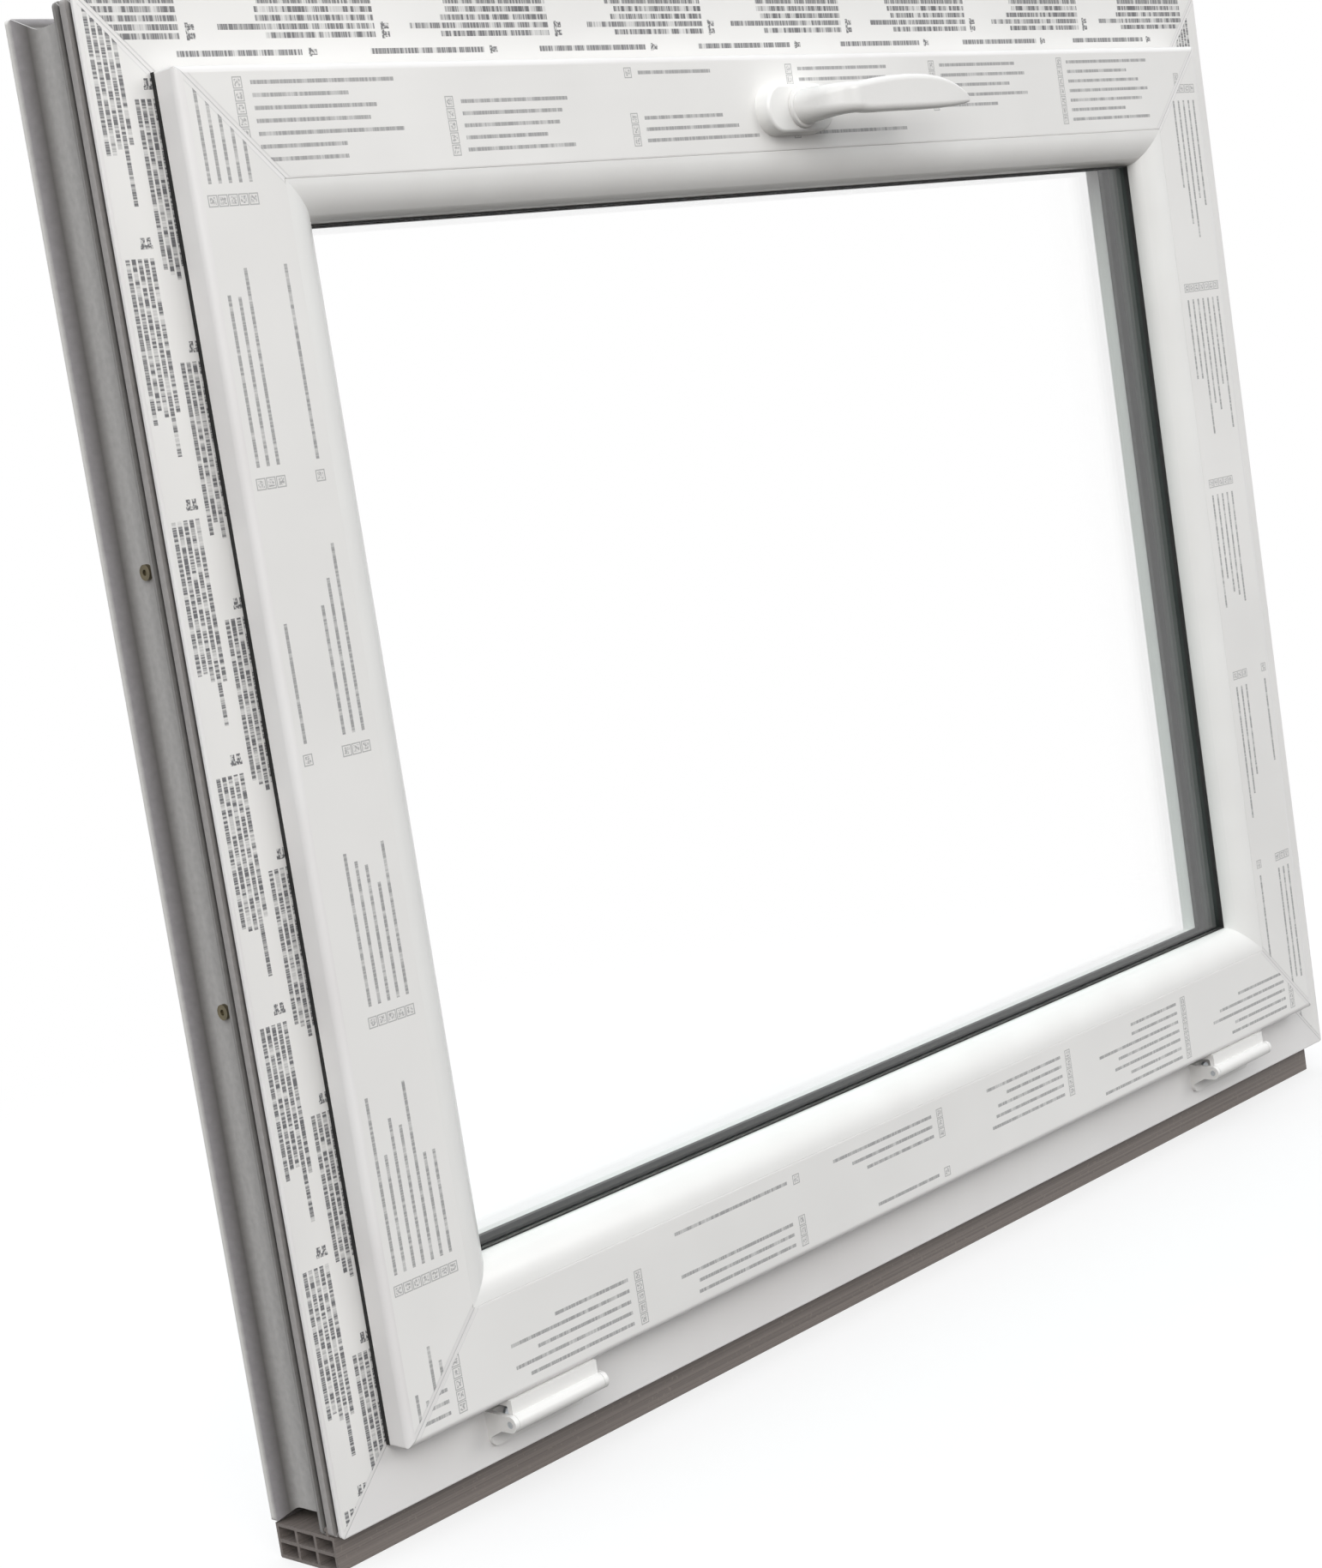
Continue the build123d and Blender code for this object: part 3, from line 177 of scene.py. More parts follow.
def pvc_base():
    """Reground PVC as it leaves the die: grey-brown and matt, with fine lines along it, drawn
    about 1 mm apart so that they show, and small paler specks."""
    material, tree = new_material("reground_pvc_extruded")
    place = add(tree, "TexCoord").outputs["Object"]
    lines = add(tree, "Mapping", {"Vector": place, "Scale": (1.5, 900.0, 900.0)})
    die = add(tree, "TexNoise", {"Vector": lines, "Scale": 1.0, "Detail": 3.0,
                                 "Roughness": 0.6})
    specks = add(tree, "TexNoise", {"Vector": place, "Scale": 420.0, "Detail": 2.0})
    tone = add(tree, "ValToRGB", {"Fac": die})
    speck = add(tree, "ValToRGB", {"Fac": specks})
    for ramp, stops in ((tone, ((0.3, "#655e5a"), (0.72, "#7f7772"))),
                        (speck, ((0.62, "#000000"), (0.7, "#ffffff")))):
        for element, (position, colour) in zip(ramp.color_ramp.elements, stops):
            element.position = position
            element.color = linear(colour)
    colour = add(tree, "MixRGB", {"Fac": speck, "Color1": tone, "Color2": linear("#7c746e")})
    bump = add(tree, "Bump", {"Height": die, "Strength": 0.25, "Distance": 0.0004})
    shader = add(tree, "BsdfPrincipled", {"Base Color": colour, "Roughness": 0.58, "IOR": 1.53,
                                          "Normal": bump})
    add(tree, "OutputMaterial", {"Surface": shader})
    return material


dress(pvc_base(), "sub_sill_profile")


# ---------------------------------------------------------------- outer frame bars

# Co-extruded PVC: a white skin on every face that shows, over a core of grey regrind that is
# bare in the grooves round the outside. The bars are welded at 45 degrees, and the weld is
# planed down to a fine groove.

HALF_WIDTH = (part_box("frame_head")[1].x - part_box("frame_head")[0].x) / 2
FRAME_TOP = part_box("frame_head")[1].z
FRAME_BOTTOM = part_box("frame_sill")[0].z
HALF_HEIGHT = (FRAME_TOP - FRAME_BOTTOM) / 2
MIDDLE = (FRAME_TOP + FRAME_BOTTOM) / 2
FRAME_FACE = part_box("frame_sill")[0].y
FRAME_DEPTH = 0.062

WELD_HALF = 0.0006          # half the width of the groove at a weld
SKIN_WRAP = 0.0021          # the skin wraps this far back round the outer edge
CORE_IN = 0.0083            # and from there on the core is bare, this far in
GROOVES_BACK = 0.0162       # the narrow grooves lie within this of the face
GROOVE_TOP, GROOVE_FLOOR = 0.0006, 0.0026   # from where, going in, they darken, and to where


def from_edges(tree):
    """Object position, its parts, and the distances from the frame's side and end edges."""
    place = add(tree, "TexCoord").outputs["Object"]
    xyz = add(tree, "SeparateXYZ", {0: place})
    x = add(tree, "Math", {0: xyz.outputs["X"]}, operation="ABSOLUTE")
    z = add(tree, "Math", {0: xyz.outputs["Z"], 1: MIDDLE}, operation="SUBTRACT")
    z = add(tree, "Math", {0: z}, operation="ABSOLUTE")
    side = add(tree, "Math", {0: HALF_WIDTH, 1: x}, operation="SUBTRACT")
    end = add(tree, "Math", {0: HALF_HEIGHT, 1: z}, operation="SUBTRACT")
    return place, xyz, side, end


def from_mitre(tree, side, end):
    """How far a point is from the nearest mitre, measured square to the bars."""
    apart = add(tree, "Math", {0: side, 1: end}, operation="SUBTRACT")
    return add(tree, "Math", {0: apart}, operation="ABSOLUTE")


def welded_pvc(name):
    """White PVC with a low sheen, a fine grey groove at each weld, and round the outside the bare
    core: dull and streaky, with painted shade at the recess corner and in the depth of the
    grooves."""
    material, tree = new_material(name)
    place, xyz, side, end = from_edges(tree)
    weld = add(tree, "MapRange", {"Value": from_mitre(tree, side, end), "From Min": WELD_HALF,
                                  "From Max": 0.35 * WELD_HALF},
               interpolation_type="SMOOTHSTEP")
    outside = add(tree, "Math", {0: side, 1: end}, operation="MINIMUM")
    core = add(tree, "Math", {0: outside, 1: CORE_IN}, operation="LESS_THAN")
    behind = add(tree, "Math", {0: xyz.outputs["Y"], 1: FRAME_FACE + SKIN_WRAP},
                 operation="GREATER_THAN")
    core = add(tree, "Math", {0: core, 1: behind}, operation="MULTIPLY")

    # Across the bar's depth the core's grey carries painted light and shade: paler and darker
    # bands over the web, and a dark band at the recess corner, stand in for how the light falls
    # there. It turns pale at the outdoor lip.
    depth = add(tree, "MapRange", {"Value": xyz.outputs["Y"], "From Min": FRAME_FACE,
                                   "From Max": FRAME_FACE + FRAME_DEPTH})
    core_and_painted_shade = add(tree, "ValToRGB", {"Fac": depth})
    ramp = core_and_painted_shade.color_ramp
    for element, (position, tone) in zip(ramp.elements, ((0.10, "#a9a5a3"), (0.94, "#e2e0dc"))):
        element.position = position
        element.color = linear(tone)
    for position, tone in ((0.28, "#868482"), (0.60, "#b6b4b2"), (0.70, "#acaaa8"),
                           (0.80, "#4e4b49"), (0.90, "#8d8a8c")):
        ramp.elements.new(position).color = linear(tone)

    # Painted shade: the narrow grooves by the face darken towards their floor, to near black,
    # where the light falls off.
    near = add(tree, "Math", {0: xyz.outputs["Y"], 1: FRAME_FACE + GROOVES_BACK},
               operation="LESS_THAN")
    groove_painted_shade = add(tree, "MapRange", {"Value": outside, "From Min": GROOVE_TOP,
                                  "From Max": GROOVE_FLOOR, "To Max": 0.97})
    groove_painted_shade = add(tree, "Math", {0: groove_painted_shade, 1: near}, operation="MULTIPLY")
    core_and_painted_shade = add(tree, "MixRGB", {"Fac": groove_painted_shade, "Color1": core_and_painted_shade, "Color2": linear("#242221")})
    streak = add(tree, "TexNoise", {"Vector": place, "Scale": 260.0, "Detail": 3.0})
    core_and_painted_shade = add(tree, "MixRGB", {"Fac": 0.18, "Color1": core_and_painted_shade, "Color2": streak},
               blend_type="OVERLAY")

    cloud = add(tree, "TexNoise", {"Vector": place, "Scale": 9.0, "Detail": 3.0})
    skin = add(tree, "ValToRGB", {"Fac": cloud})
    for element, (position, tone) in zip(skin.color_ramp.elements,
                                         ((0.35, "#e6e4e3"), (0.65, "#ecebea"))):
        element.position = position
        element.color = linear(tone)
    colour = add(tree, "MixRGB", {"Fac": core, "Color1": skin, "Color2": core_and_painted_shade})
    colour = add(tree, "MixRGB", {"Fac": weld, "Color1": colour, "Color2": linear("#c8c7c7")})
    groove = add(tree, "Math", {0: 1.0, 1: weld}, operation="SUBTRACT")
    bump = add(tree, "Bump", {"Height": groove, "Strength": 0.4, "Distance": 0.0003})
    rough = add(tree, "MapRange", {"Value": core, "To Min": 0.30, "To Max": 0.55})
    shader = add(tree, "BsdfPrincipled", {"Base Color": colour, "Roughness": rough, "IOR": 1.53,
                                          "Normal": bump})
    add(tree, "OutputMaterial", {"Surface": shader})
    return material


dress(welded_pvc("co_extruded_pvc_welded"),
      "frame_head", "frame_sill", "frame_left_jamb", "frame_right_jamb")


# ---------------------------------------------------------------- film on the frame

# Polyethylene film that guards the white faces until the window is built in. It is cut short of
# the welds, and its print is plain rows of dashes: a dense block by the outer edge, which on the
# right jamb starts 9 mm further in, and a narrower one by the sash.

FILM_THICK = 0.00010
FILM_LIFT = 0.00003         # the air under it
WELD_STRIP = 0.0021         # bare strip on each side of a weld
FILM_EDGE = WELD_STRIP * 2 ** 0.5           # the same strip, measured along a bar
FRAME_FILM_OUT, FRAME_FILM_IN = 0.0012, 0.0452      # its edges, in from the frame's edge
SPIN_STEPS = 6
TOUCH = 1e-6                # points nearer than this are one
SIDE_TURNS = {"head": 0, "right": 1, "sill": 2, "left": 3}

DENSE_REPEAT = 131.2        # millimetres along the bar from one block of print to the next
DENSE_ROW = 4.0             # millimetres from row to row
DENSE_LINE = 0.34           # half a line's height, as a share of its row
DENSE_INK = 0.92


def into_place(side):
    """Turns a bar drawn along X, with its outer edge up and its face towards +Z, into place."""
    turn = Matrix.Rotation(SIDE_TURNS[side] * pi / 2, 4, "Y")
    return Matrix.Translation((0, 0, MIDDLE)) @ turn @ Matrix.Rotation(pi / 2, 4, "X")


def pick_edges(piece, test):
    """In edit mode, selects only the edges whose two ends pass the test."""
    bpy.ops.mesh.select_all(action="DESELECT")
    bpy.ops.mesh.select_mode(type="EDGE")
    bpy.ops.object.mode_set(mode="OBJECT")
    for edge in piece.data.edges:
        edge.select = all(test(piece.data.vertices[n].co) for n in edge.vertices)
    bpy.ops.object.mode_set(mode="EDIT")


def film_strip(name, side, face_y, outer, inner, rounding, wrap, print_start):
    """Strip of film on one bar. outer and inner are distances in from the frame's outer edge,
    and rounding and wrap take it back round the bar's outer edge."""
    level = side in ("head", "sill")
    half_across = HALF_HEIGHT if level else HALF_WIDTH
    half_along = HALF_WIDTH if level else HALF_HEIGHT
    top = half_across - outer - rounding
    bottom = half_across - inner
    bpy.ops.object.select_all(action="DESELECT")
    bpy.ops.mesh.primitive_plane_add(size=1, location=(0, (top + bottom) / 2, 0))
    strip = bpy.context.object
    strip.name = name
    strip.scale = (2 * half_along, top - bottom, 1)
    bpy.ops.object.transform_apply(location=True, rotation=True, scale=True)
    bpy.ops.object.mode_set(mode="EDIT")
    if rounding:
        pick_edges(strip, lambda point: point.y > top - TOUCH)
        bpy.ops.mesh.spin(steps=SPIN_STEPS, angle=-pi / 2, center=(0, top, -rounding),
                          axis=(1, 0, 0))
        bpy.ops.mesh.extrude_region_move(TRANSFORM_OT_translate={"value": (0, 0, -wrap)})
    for end in (-1, 1):
        bpy.ops.mesh.select_all(action="SELECT")
        corner = (end * (half_along - FILM_EDGE), half_across, 0)
        bpy.ops.mesh.bisect(plane_co=corner, plane_no=(end, -1, 0), clear_outer=True)
    bpy.ops.mesh.select_all(action="SELECT")
    bpy.ops.mesh.remove_doubles(threshold=TOUCH)
    bpy.ops.mesh.normals_make_consistent(inside=False)
    bpy.ops.object.mode_set(mode="OBJECT")
    mesh = strip.data
    if max(mesh.polygons, key=lambda face: face.area).normal.z < 0:
        mesh.flip_normals()
    uv = mesh.uv_layers.new(name="print")
    for loop in mesh.loops:
        place = mesh.vertices[loop.vertex_index].co
        uv.data[loop.index].uv = (place.x + print_start, half_across - place.y)
    solid = strip.modifiers.new("thickness", "SOLIDIFY")
    solid.thickness = FILM_THICK
    solid.offset = 1.0
    bpy.ops.object.modifier_apply(modifier=solid.name)
    mesh.transform(Matrix.Translation((0, 0, FILM_LIFT)))
    mesh.transform(into_place(side))
    mesh.transform(Matrix.Translation((0, face_y, 0)))
    bpy.ops.object.shade_smooth_by_angle(angle=radians(40))
    return strip


def film_base(tree, uv):
    """Colour and bump of the bare film: white as milk, with a grey cut edge and long soft
    creases along the bar, about 8 mm apart."""
    place, _, side, end = from_edges(tree)
    cloud = add(tree, "TexNoise", {"Vector": place, "Scale": 6.0, "Detail": 3.0})
    colour = add(tree, "ValToRGB", {"Fac": cloud})
    for element, (position, tone) in zip(colour.color_ramp.elements,
                                         ((0.35, "#e7e6e4"), (0.65, "#eeedeb"))):
        element.position = position
        element.color = linear(tone)
    cut = add(tree, "Math", {0: from_mitre(tree, side, end), 1: FILM_EDGE + 0.0004, 2: 0.0005},
              operation="COMPARE")
    cut = add(tree, "Math", {0: cut, 1: 0.22}, operation="MULTIPLY")
    colour = add(tree, "MixRGB", {"Fac": cut, "Color1": colour, "Color2": linear("#a9aaac")})
    along = add(tree, "Mapping", {"Vector": uv, "Scale": (14.0, 120.0, 1.0)})
    crease = add(tree, "TexNoise", {"Vector": along, "Scale": 1.0, "Detail": 2.0})
    bump = add(tree, "Bump", {"Height": crease, "Strength": 0.25, "Distance": 0.0004})
    return colour, bump


def in_millimetres(tree, uv):
    """Distances along and across the bar, in millimetres."""
    mm = add(tree, "VectorMath", {0: uv, 1: (1000.0, 1000.0, 0.0)}, operation="MULTIPLY")
    mm = add(tree, "SeparateXYZ", {0: mm})
    return mm.outputs["X"], mm.outputs["Y"]


def blotted(tree, along, across, scale, tones):
    """Uneven tone inside a solid mark. tones are the noise's low and high ends, and the marks'."""
    flat = add(tree, "CombineXYZ", {"X": along, "Y": across})
    blots = add(tree, "TexNoise", {"Vector": flat, "Scale": scale, "Detail": 2.0},
                noise_dimensions="2D")
    low, high, pale, dark = tones
    return add(tree, "MapRange", {"Value": blots, "From Min": low, "From Max": high,
                                  "To Min": pale, "To Max": dark})


def glyphs(tree, along, row, scale, low):
    """Uneven tone along a printed row, as small dense print has from a distance: fine marks in
    longer groups."""
    apart = add(tree, "Math", {0: row, 1: 13.7}, operation="MULTIPLY")
    key = add(tree, "CombineXYZ", {"X": along, "Y": apart})
    tone = None
    for size, detail, dark, bright in ((1.0, 2.0, 0.36, 0.56), (0.22, 1.0, 0.34, 0.44)):
        noise = add(tree, "TexNoise", {"Vector": key, "Scale": size * scale, "Detail": detail},
                    noise_dimensions="2D")
        marks = add(tree, "MapRange", {"Value": noise, "From Min": dark, "From Max": bright,
                                       "To Min": low, "To Max": 1.0})
        tone = add(tree, "Math", {0: tone, 1: marks}, operation="MULTIPLY") if tone else marks
    return tone


def frame_film(inner_rows):
    """Film with dense print: two blocks of dark grey rows, each closed by a short hooked mark."""
    material, tree = new_material("polyethylene_film_dense_print")
    uv = add(tree, "UVMap", uv_map="print")
    colour, bump = film_base(tree, uv)
    along, across = in_millimetres(tree, uv)
    blots = blotted(tree, along, across, 0.7, (0.38, 0.55, 0.25, 1.0))
    ink = None

    # For each block, in millimetres: its first row, how many rows it has, its shift along the
    # bar, and where its lines start and stop.
    blocks = ((3.0, 5, 0.0, 26.0, 108.0), (27.0, inner_rows, 35.0, 4.0, 90.0))
    for first_row, rows, shift, start, stop in blocks:
        moved = add(tree, "Math", {0: along, 1: shift}, operation="ADD")
        place = add(tree, "Math", {0: moved, 1: DENSE_REPEAT}, operation="FLOORED_MODULO")
        block = add(tree, "Math", {0: moved, 1: DENSE_REPEAT}, operation="DIVIDE")
        block = add(tree, "Math", {0: block}, operation="FLOOR")
        level = add(tree, "Math", {0: across, 1: first_row}, operation="SUBTRACT")
        level = add(tree, "Math", {0: level, 1: DENSE_ROW}, operation="DIVIDE")
        row = add(tree, "Math", {0: level}, operation="FLOOR")
        within = add(tree, "Math", {0: level, 1: row}, operation="SUBTRACT")
        line = add(tree, "Math", {0: within, 1: 0.5, 2: DENSE_LINE}, operation="COMPARE")
        middle_row = (rows - 1) / 2
        in_rows = add(tree, "Math", {0: row, 1: middle_row, 2: middle_row + 0.1},
                      operation="COMPARE")

        # Lines begin unevenly, and the last but one begins far to the left.
        key = add(tree, "CombineXYZ", {"X": block, "Y": row, "Z": shift})
        chance = add(tree, "TexWhiteNoise", {"Vector": key}, noise_dimensions="3D")
        early = add(tree, "Math", {0: chance, 1: 9.0, 2: start - 2.0},
                    operation="MULTIPLY_ADD")
        long_row = add(tree, "Math", {0: row, 1: rows - 2.0, 2: 0.1}, operation="COMPARE")
        early = add(tree, "Math", {0: long_row, 1: -24.0, 2: early}, operation="MULTIPLY_ADD")
        text = add(tree, "Math", {0: place, 1: early}, operation="GREATER_THAN")
        ended = add(tree, "Math", {0: place, 1: stop}, operation="LESS_THAN")
        for factor in (ended, glyphs(tree, moved, row, 0.85, 0.35), line):
            text = add(tree, "Math", {0: text, 1: factor}, operation="MULTIPLY")

        # The hooked mark is an upright bar with a foot on each of its rows.
        bar = add(tree, "Math", {0: place, 1: stop + 5.5, 2: 1.0}, operation="COMPARE")
        foot = add(tree, "Math", {0: place, 1: stop + 7.8, 2: 2.4}, operation="COMPARE")
        foot = add(tree, "Math", {0: foot, 1: line}, operation="MULTIPLY")
        mark = add(tree, "Math", {0: bar, 1: foot}, operation="MAXIMUM")
        low_rows = add(tree, "Math", {0: row, 1: rows - 2.6}, operation="GREATER_THAN")
        for factor in (low_rows, blots):
            mark = add(tree, "Math", {0: mark, 1: factor}, operation="MULTIPLY")

        both = add(tree, "Math", {0: text, 1: mark}, operation="MAXIMUM")
        both = add(tree, "Math", {0: both, 1: in_rows}, operation="MULTIPLY")
        ink = add(tree, "Math", {0: ink, 1: both}, operation="MAXIMUM") if ink else both
    ink = add(tree, "Math", {0: ink, 1: DENSE_INK}, operation="MULTIPLY")
    colour = add(tree, "MixRGB", {"Fac": ink, "Color1": colour, "Color2": linear("#4d4d52")})
    shader = add(tree, "BsdfPrincipled", {"Base Color": colour, "Roughness": 0.32, "IOR": 1.51,
                                          "Normal": bump})
    add(tree, "OutputMaterial", {"Surface": shader})
    return material


JAMB_FILM = frame_film(inner_rows=4)
HEAD_FILM = frame_film(inner_rows=1)

# Where the print starts along each bar, and its scale and start across it.
for side, print_start, across_scale, across_start, film in (
    ("head", 0.416, 0.899, 0.0024, HEAD_FILM),
    ("left", 0.100, 1.067, 0.0002, JAMB_FILM),
    ("right", 0.300, 1.067, -0.0088, JAMB_FILM),
):
    strip = film_strip("film_on_frame_" + side, side, FRAME_FACE, FRAME_FILM_OUT, FRAME_FILM_IN,
                       0, 0, print_start)
    for corner in strip.data.uv_layers["print"].data:
        corner.uv.y = corner.uv.y * across_scale + across_start
    strip.data.materials.append(film)
    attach(strip, "frame")


# ---------------------------------------------------------------- steel inside the bars

# Channels rolled from hot-dip galvanised sheet, slid into the main chambers before the bars are
# welded. Plated screws hold them from outside.

def galvanised():
    """Zinc from the hot dip: dull grey, in pale crystals about 9 mm across."""
    material, tree = new_material("hot_dip_galvanised_sheet")
    place = add(tree, "TexCoord").outputs["Object"]
    crystals = add(tree, "TexVoronoi", {"Vector": place, "Scale": 110.0}, feature="F1")
    tone = add(tree, "MixRGB", {"Fac": crystals.outputs["Color"], "Color1": linear("#9fa3a6"),
                                "Color2": linear("#b9bcbe")})
    rough = add(tree, "MapRange", {"Value": crystals.outputs["Distance"], "To Min": 0.35,
                                   "To Max": 0.55})
    shader = add(tree, "BsdfPrincipled", {"Base Color": tone, "Metallic": 1.0,
                                          "Roughness": rough})
    add(tree, "OutputMaterial", {"Surface": shader})
    return material


def zinc_plate():
    """Bright zinc with a bluish passivation, over steel with faint rolling lines."""
    material, tree = new_material("bright_zinc_plate")
    place = add(tree, "TexCoord").outputs["Object"]
    lines = add(tree, "Mapping", {"Vector": place, "Scale": (20.0, 900.0, 400.0)})
    lines = add(tree, "TexNoise", {"Vector": lines, "Scale": 1.0, "Detail": 2.0})
    rough = add(tree, "MapRange", {"Value": lines, "From Min": 0.3, "From Max": 0.7,
                                   "To Min": 0.24, "To Max": 0.38})
    cloud = add(tree, "TexNoise", {"Vector": place, "Scale": 60.0})
    tone = add(tree, "MixRGB", {"Fac": cloud, "Color1": linear("#b4bac0"),
                                "Color2": linear("#c9ccce")})
    shader = add(tree, "BsdfPrincipled", {"Base Color": tone, "Metallic": 1.0,
                                          "Roughness": rough})
    add(tree, "OutputMaterial", {"Surface": shader})
    return material


def yellow_zinc():
    """Yellow-passivated zinc that has gone dull and blotchy, as on screws driven from outside."""
    material, tree = new_material("dull_yellow_zinc")
    place = add(tree, "TexCoord").outputs["Object"]
    cloud = add(tree, "TexNoise", {"Vector": place, "Scale": 180.0, "Detail": 2.0})
    tone = add(tree, "MixRGB", {"Fac": cloud, "Color1": linear("#5d584b"),
                                "Color2": linear("#7d745c")})
    shader = add(tree, "BsdfPrincipled", {"Base Color": tone, "Metallic": 0.9,
                                          "Roughness": 0.55})
    add(tree, "OutputMaterial", {"Surface": shader})
    return material


GALVANISED = galvanised()
ZINC_PLATE = zinc_plate()
dress(GALVANISED, "frame_steel_top", "frame_steel_bottom", "frame_steel_left",
      "frame_steel_right")
dress(yellow_zinc(), "frame_steel_screws")
dress(ZINC_PLATE, "hinge_pins", "hinge_frame_screws", "keep_plates", "keep_screws",
      "stay_frame_brackets")


# ---------------------------------------------------------------- drainage caps

# Small hooded caps, moulded in white PVC, that snap over the drain slots on the outdoor face.

def glossy_pvc():
    """Bare white PVC, extruded or moulded: smooth, with a waxy gloss and a faint ripple."""
    material, tree = new_material("glossy_white_pvc")
    place = add(tree, "TexCoord").outputs["Object"]
    ripple = add(tree, "TexNoise", {"Vector": place, "Scale": 28.0, "Detail": 1.0})
    bump = add(tree, "Bump", {"Height": ripple, "Strength": 0.08, "Distance": 0.001})
    tone = add(tree, "MixRGB", {"Fac": ripple, "Color1": linear("#eae9e7"),
                                "Color2": linear("#f1f1ef")})
    shader = add(tree, "BsdfPrincipled", {"Base Color": tone, "Roughness": 0.24, "IOR": 1.53,
                                          "Specular IOR Level": 0.35, "Normal": bump})
    add(tree, "OutputMaterial", {"Surface": shader})
    return material


GLOSSY_PVC = glossy_pvc()
dress(GLOSSY_PVC, "drainage_caps")


# ---------------------------------------------------------------- rubber seals

# Black EPDM seals, extruded and pushed into their grooves in the frame, the sash and the beads.

def seal_rubber():
    """Extruded EPDM: near black and matt, with a faint grey bloom."""
    material, tree = new_material("extruded_epdm")
    place = add(tree, "TexCoord").outputs["Object"]
    bloom = add(tree, "TexNoise", {"Vector": place, "Scale": 160.0, "Detail": 3.0})
    tone = add(tree, "MixRGB", {"Fac": bloom, "Color1": linear("#0b0b0b"),
                                "Color2": linear("#191919")})
    rough = add(tree, "MapRange", {"Value": bloom, "To Min": 0.55, "To Max": 0.8})
    shader = add(tree, "BsdfPrincipled", {"Base Color": tone, "Roughness": rough, "IOR": 1.5})
    add(tree, "OutputMaterial", {"Surface": shader})
    return material


dress(seal_rubber(), "frame_seal", "sash_lip_seal", "bead_seal", "outer_glazing_seal")


# ---------------------------------------------------------------- hinges

# Leaves of die-cast zinc, powder-coated white. The frame leaf's ears hold the pin, and the sash
# leaf's barrel turns on it.

def powder_coat():
    """White powder coat: glossy, with an orange peel of about 1.5 mm."""
    material, tree = new_material("white_powder_coat")
    place = add(tree, "TexCoord").outputs["Object"]
    peel = add(tree, "TexNoise", {"Vector": place, "Scale": 650.0, "Detail": 1.0})
    bump = add(tree, "Bump", {"Height": peel, "Strength": 0.12, "Distance": 0.0002})
    cloud = add(tree, "TexNoise", {"Vector": place, "Scale": 30.0})
    tone = add(tree, "MixRGB", {"Fac": cloud, "Color1": linear("#e7e6e4"),
                                "Color2": linear("#edecea")})
    shader = add(tree, "BsdfPrincipled", {"Base Color": tone, "Roughness": 0.24, "IOR": 1.52,
                                          "Normal": bump})
    add(tree, "OutputMaterial", {"Surface": shader})
    return material


POWDER_COAT = powder_coat()
dress(POWDER_COAT, "frame_hinge_leaf_left", "frame_hinge_leaf_right", "sash_hinge_leaf_left",
      "sash_hinge_leaf_right")


# ---------------------------------------------------------------- sash bars

# The same co-extruded PVC as the frame, welded and planed in the same way; its outside carries
# the hardware groove and is white all round.

SASH_FACE_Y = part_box("sash_top_rail")[0].y
SASH_IN = FRAME_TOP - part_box("sash_top_rail")[1].z
SASH_FACE_WIDTH = 0.0585
BEAD_IN = SASH_IN + SASH_FACE_WIDTH

dress(welded_pvc("white_pvc_welded"), "sash_top_rail", "sash_bottom_rail", "sash_left_stile",
      "sash_right_stile")
dress(GALVANISED, "sash_steel_top", "sash_steel_bottom", "sash_steel_left", "sash_steel_right")
dress(ZINC_PLATE, "hinge_sash_screws", "stay_sash_brackets")


# ---------------------------------------------------------------- film on the sash

# The same film, wrapped round the lip's rounded edge. Its print is thin rows in five groups that
# come in turn, and each row is led by a small blotted square in a ring.

LIP_ROUNDING = 0.004
LIP_WRAP = 0.011
BEAD_GAP = 0.0008           # bare strip beside the bead

THIN_REPEAT = 142.6         # millimetres, as are the next two and the places further down
THIN_ROW = 6.5
THIN_FIRST = 44.75          # first row, in from the frame's outer edge
THIN_LINE = 0.16            # half a line's height, as a share of its row
THIN_INK = 0.66
THIN_ROWS = 7
THIN_GROUPS = 5
BLANK_ROWS = ((7, 9), (15, 18), (24, 27))   # counted through all the groups' rows
LAST_BLANK = 33
SQUARE_MIDDLE = 4.5
SQUARE_HALF = 1.9
RING_HALF = 2.75
TEXT_START = 13.0
TEXT_LEAST, TEXT_SPREAD = 70.0, 46.0        # where a line stops


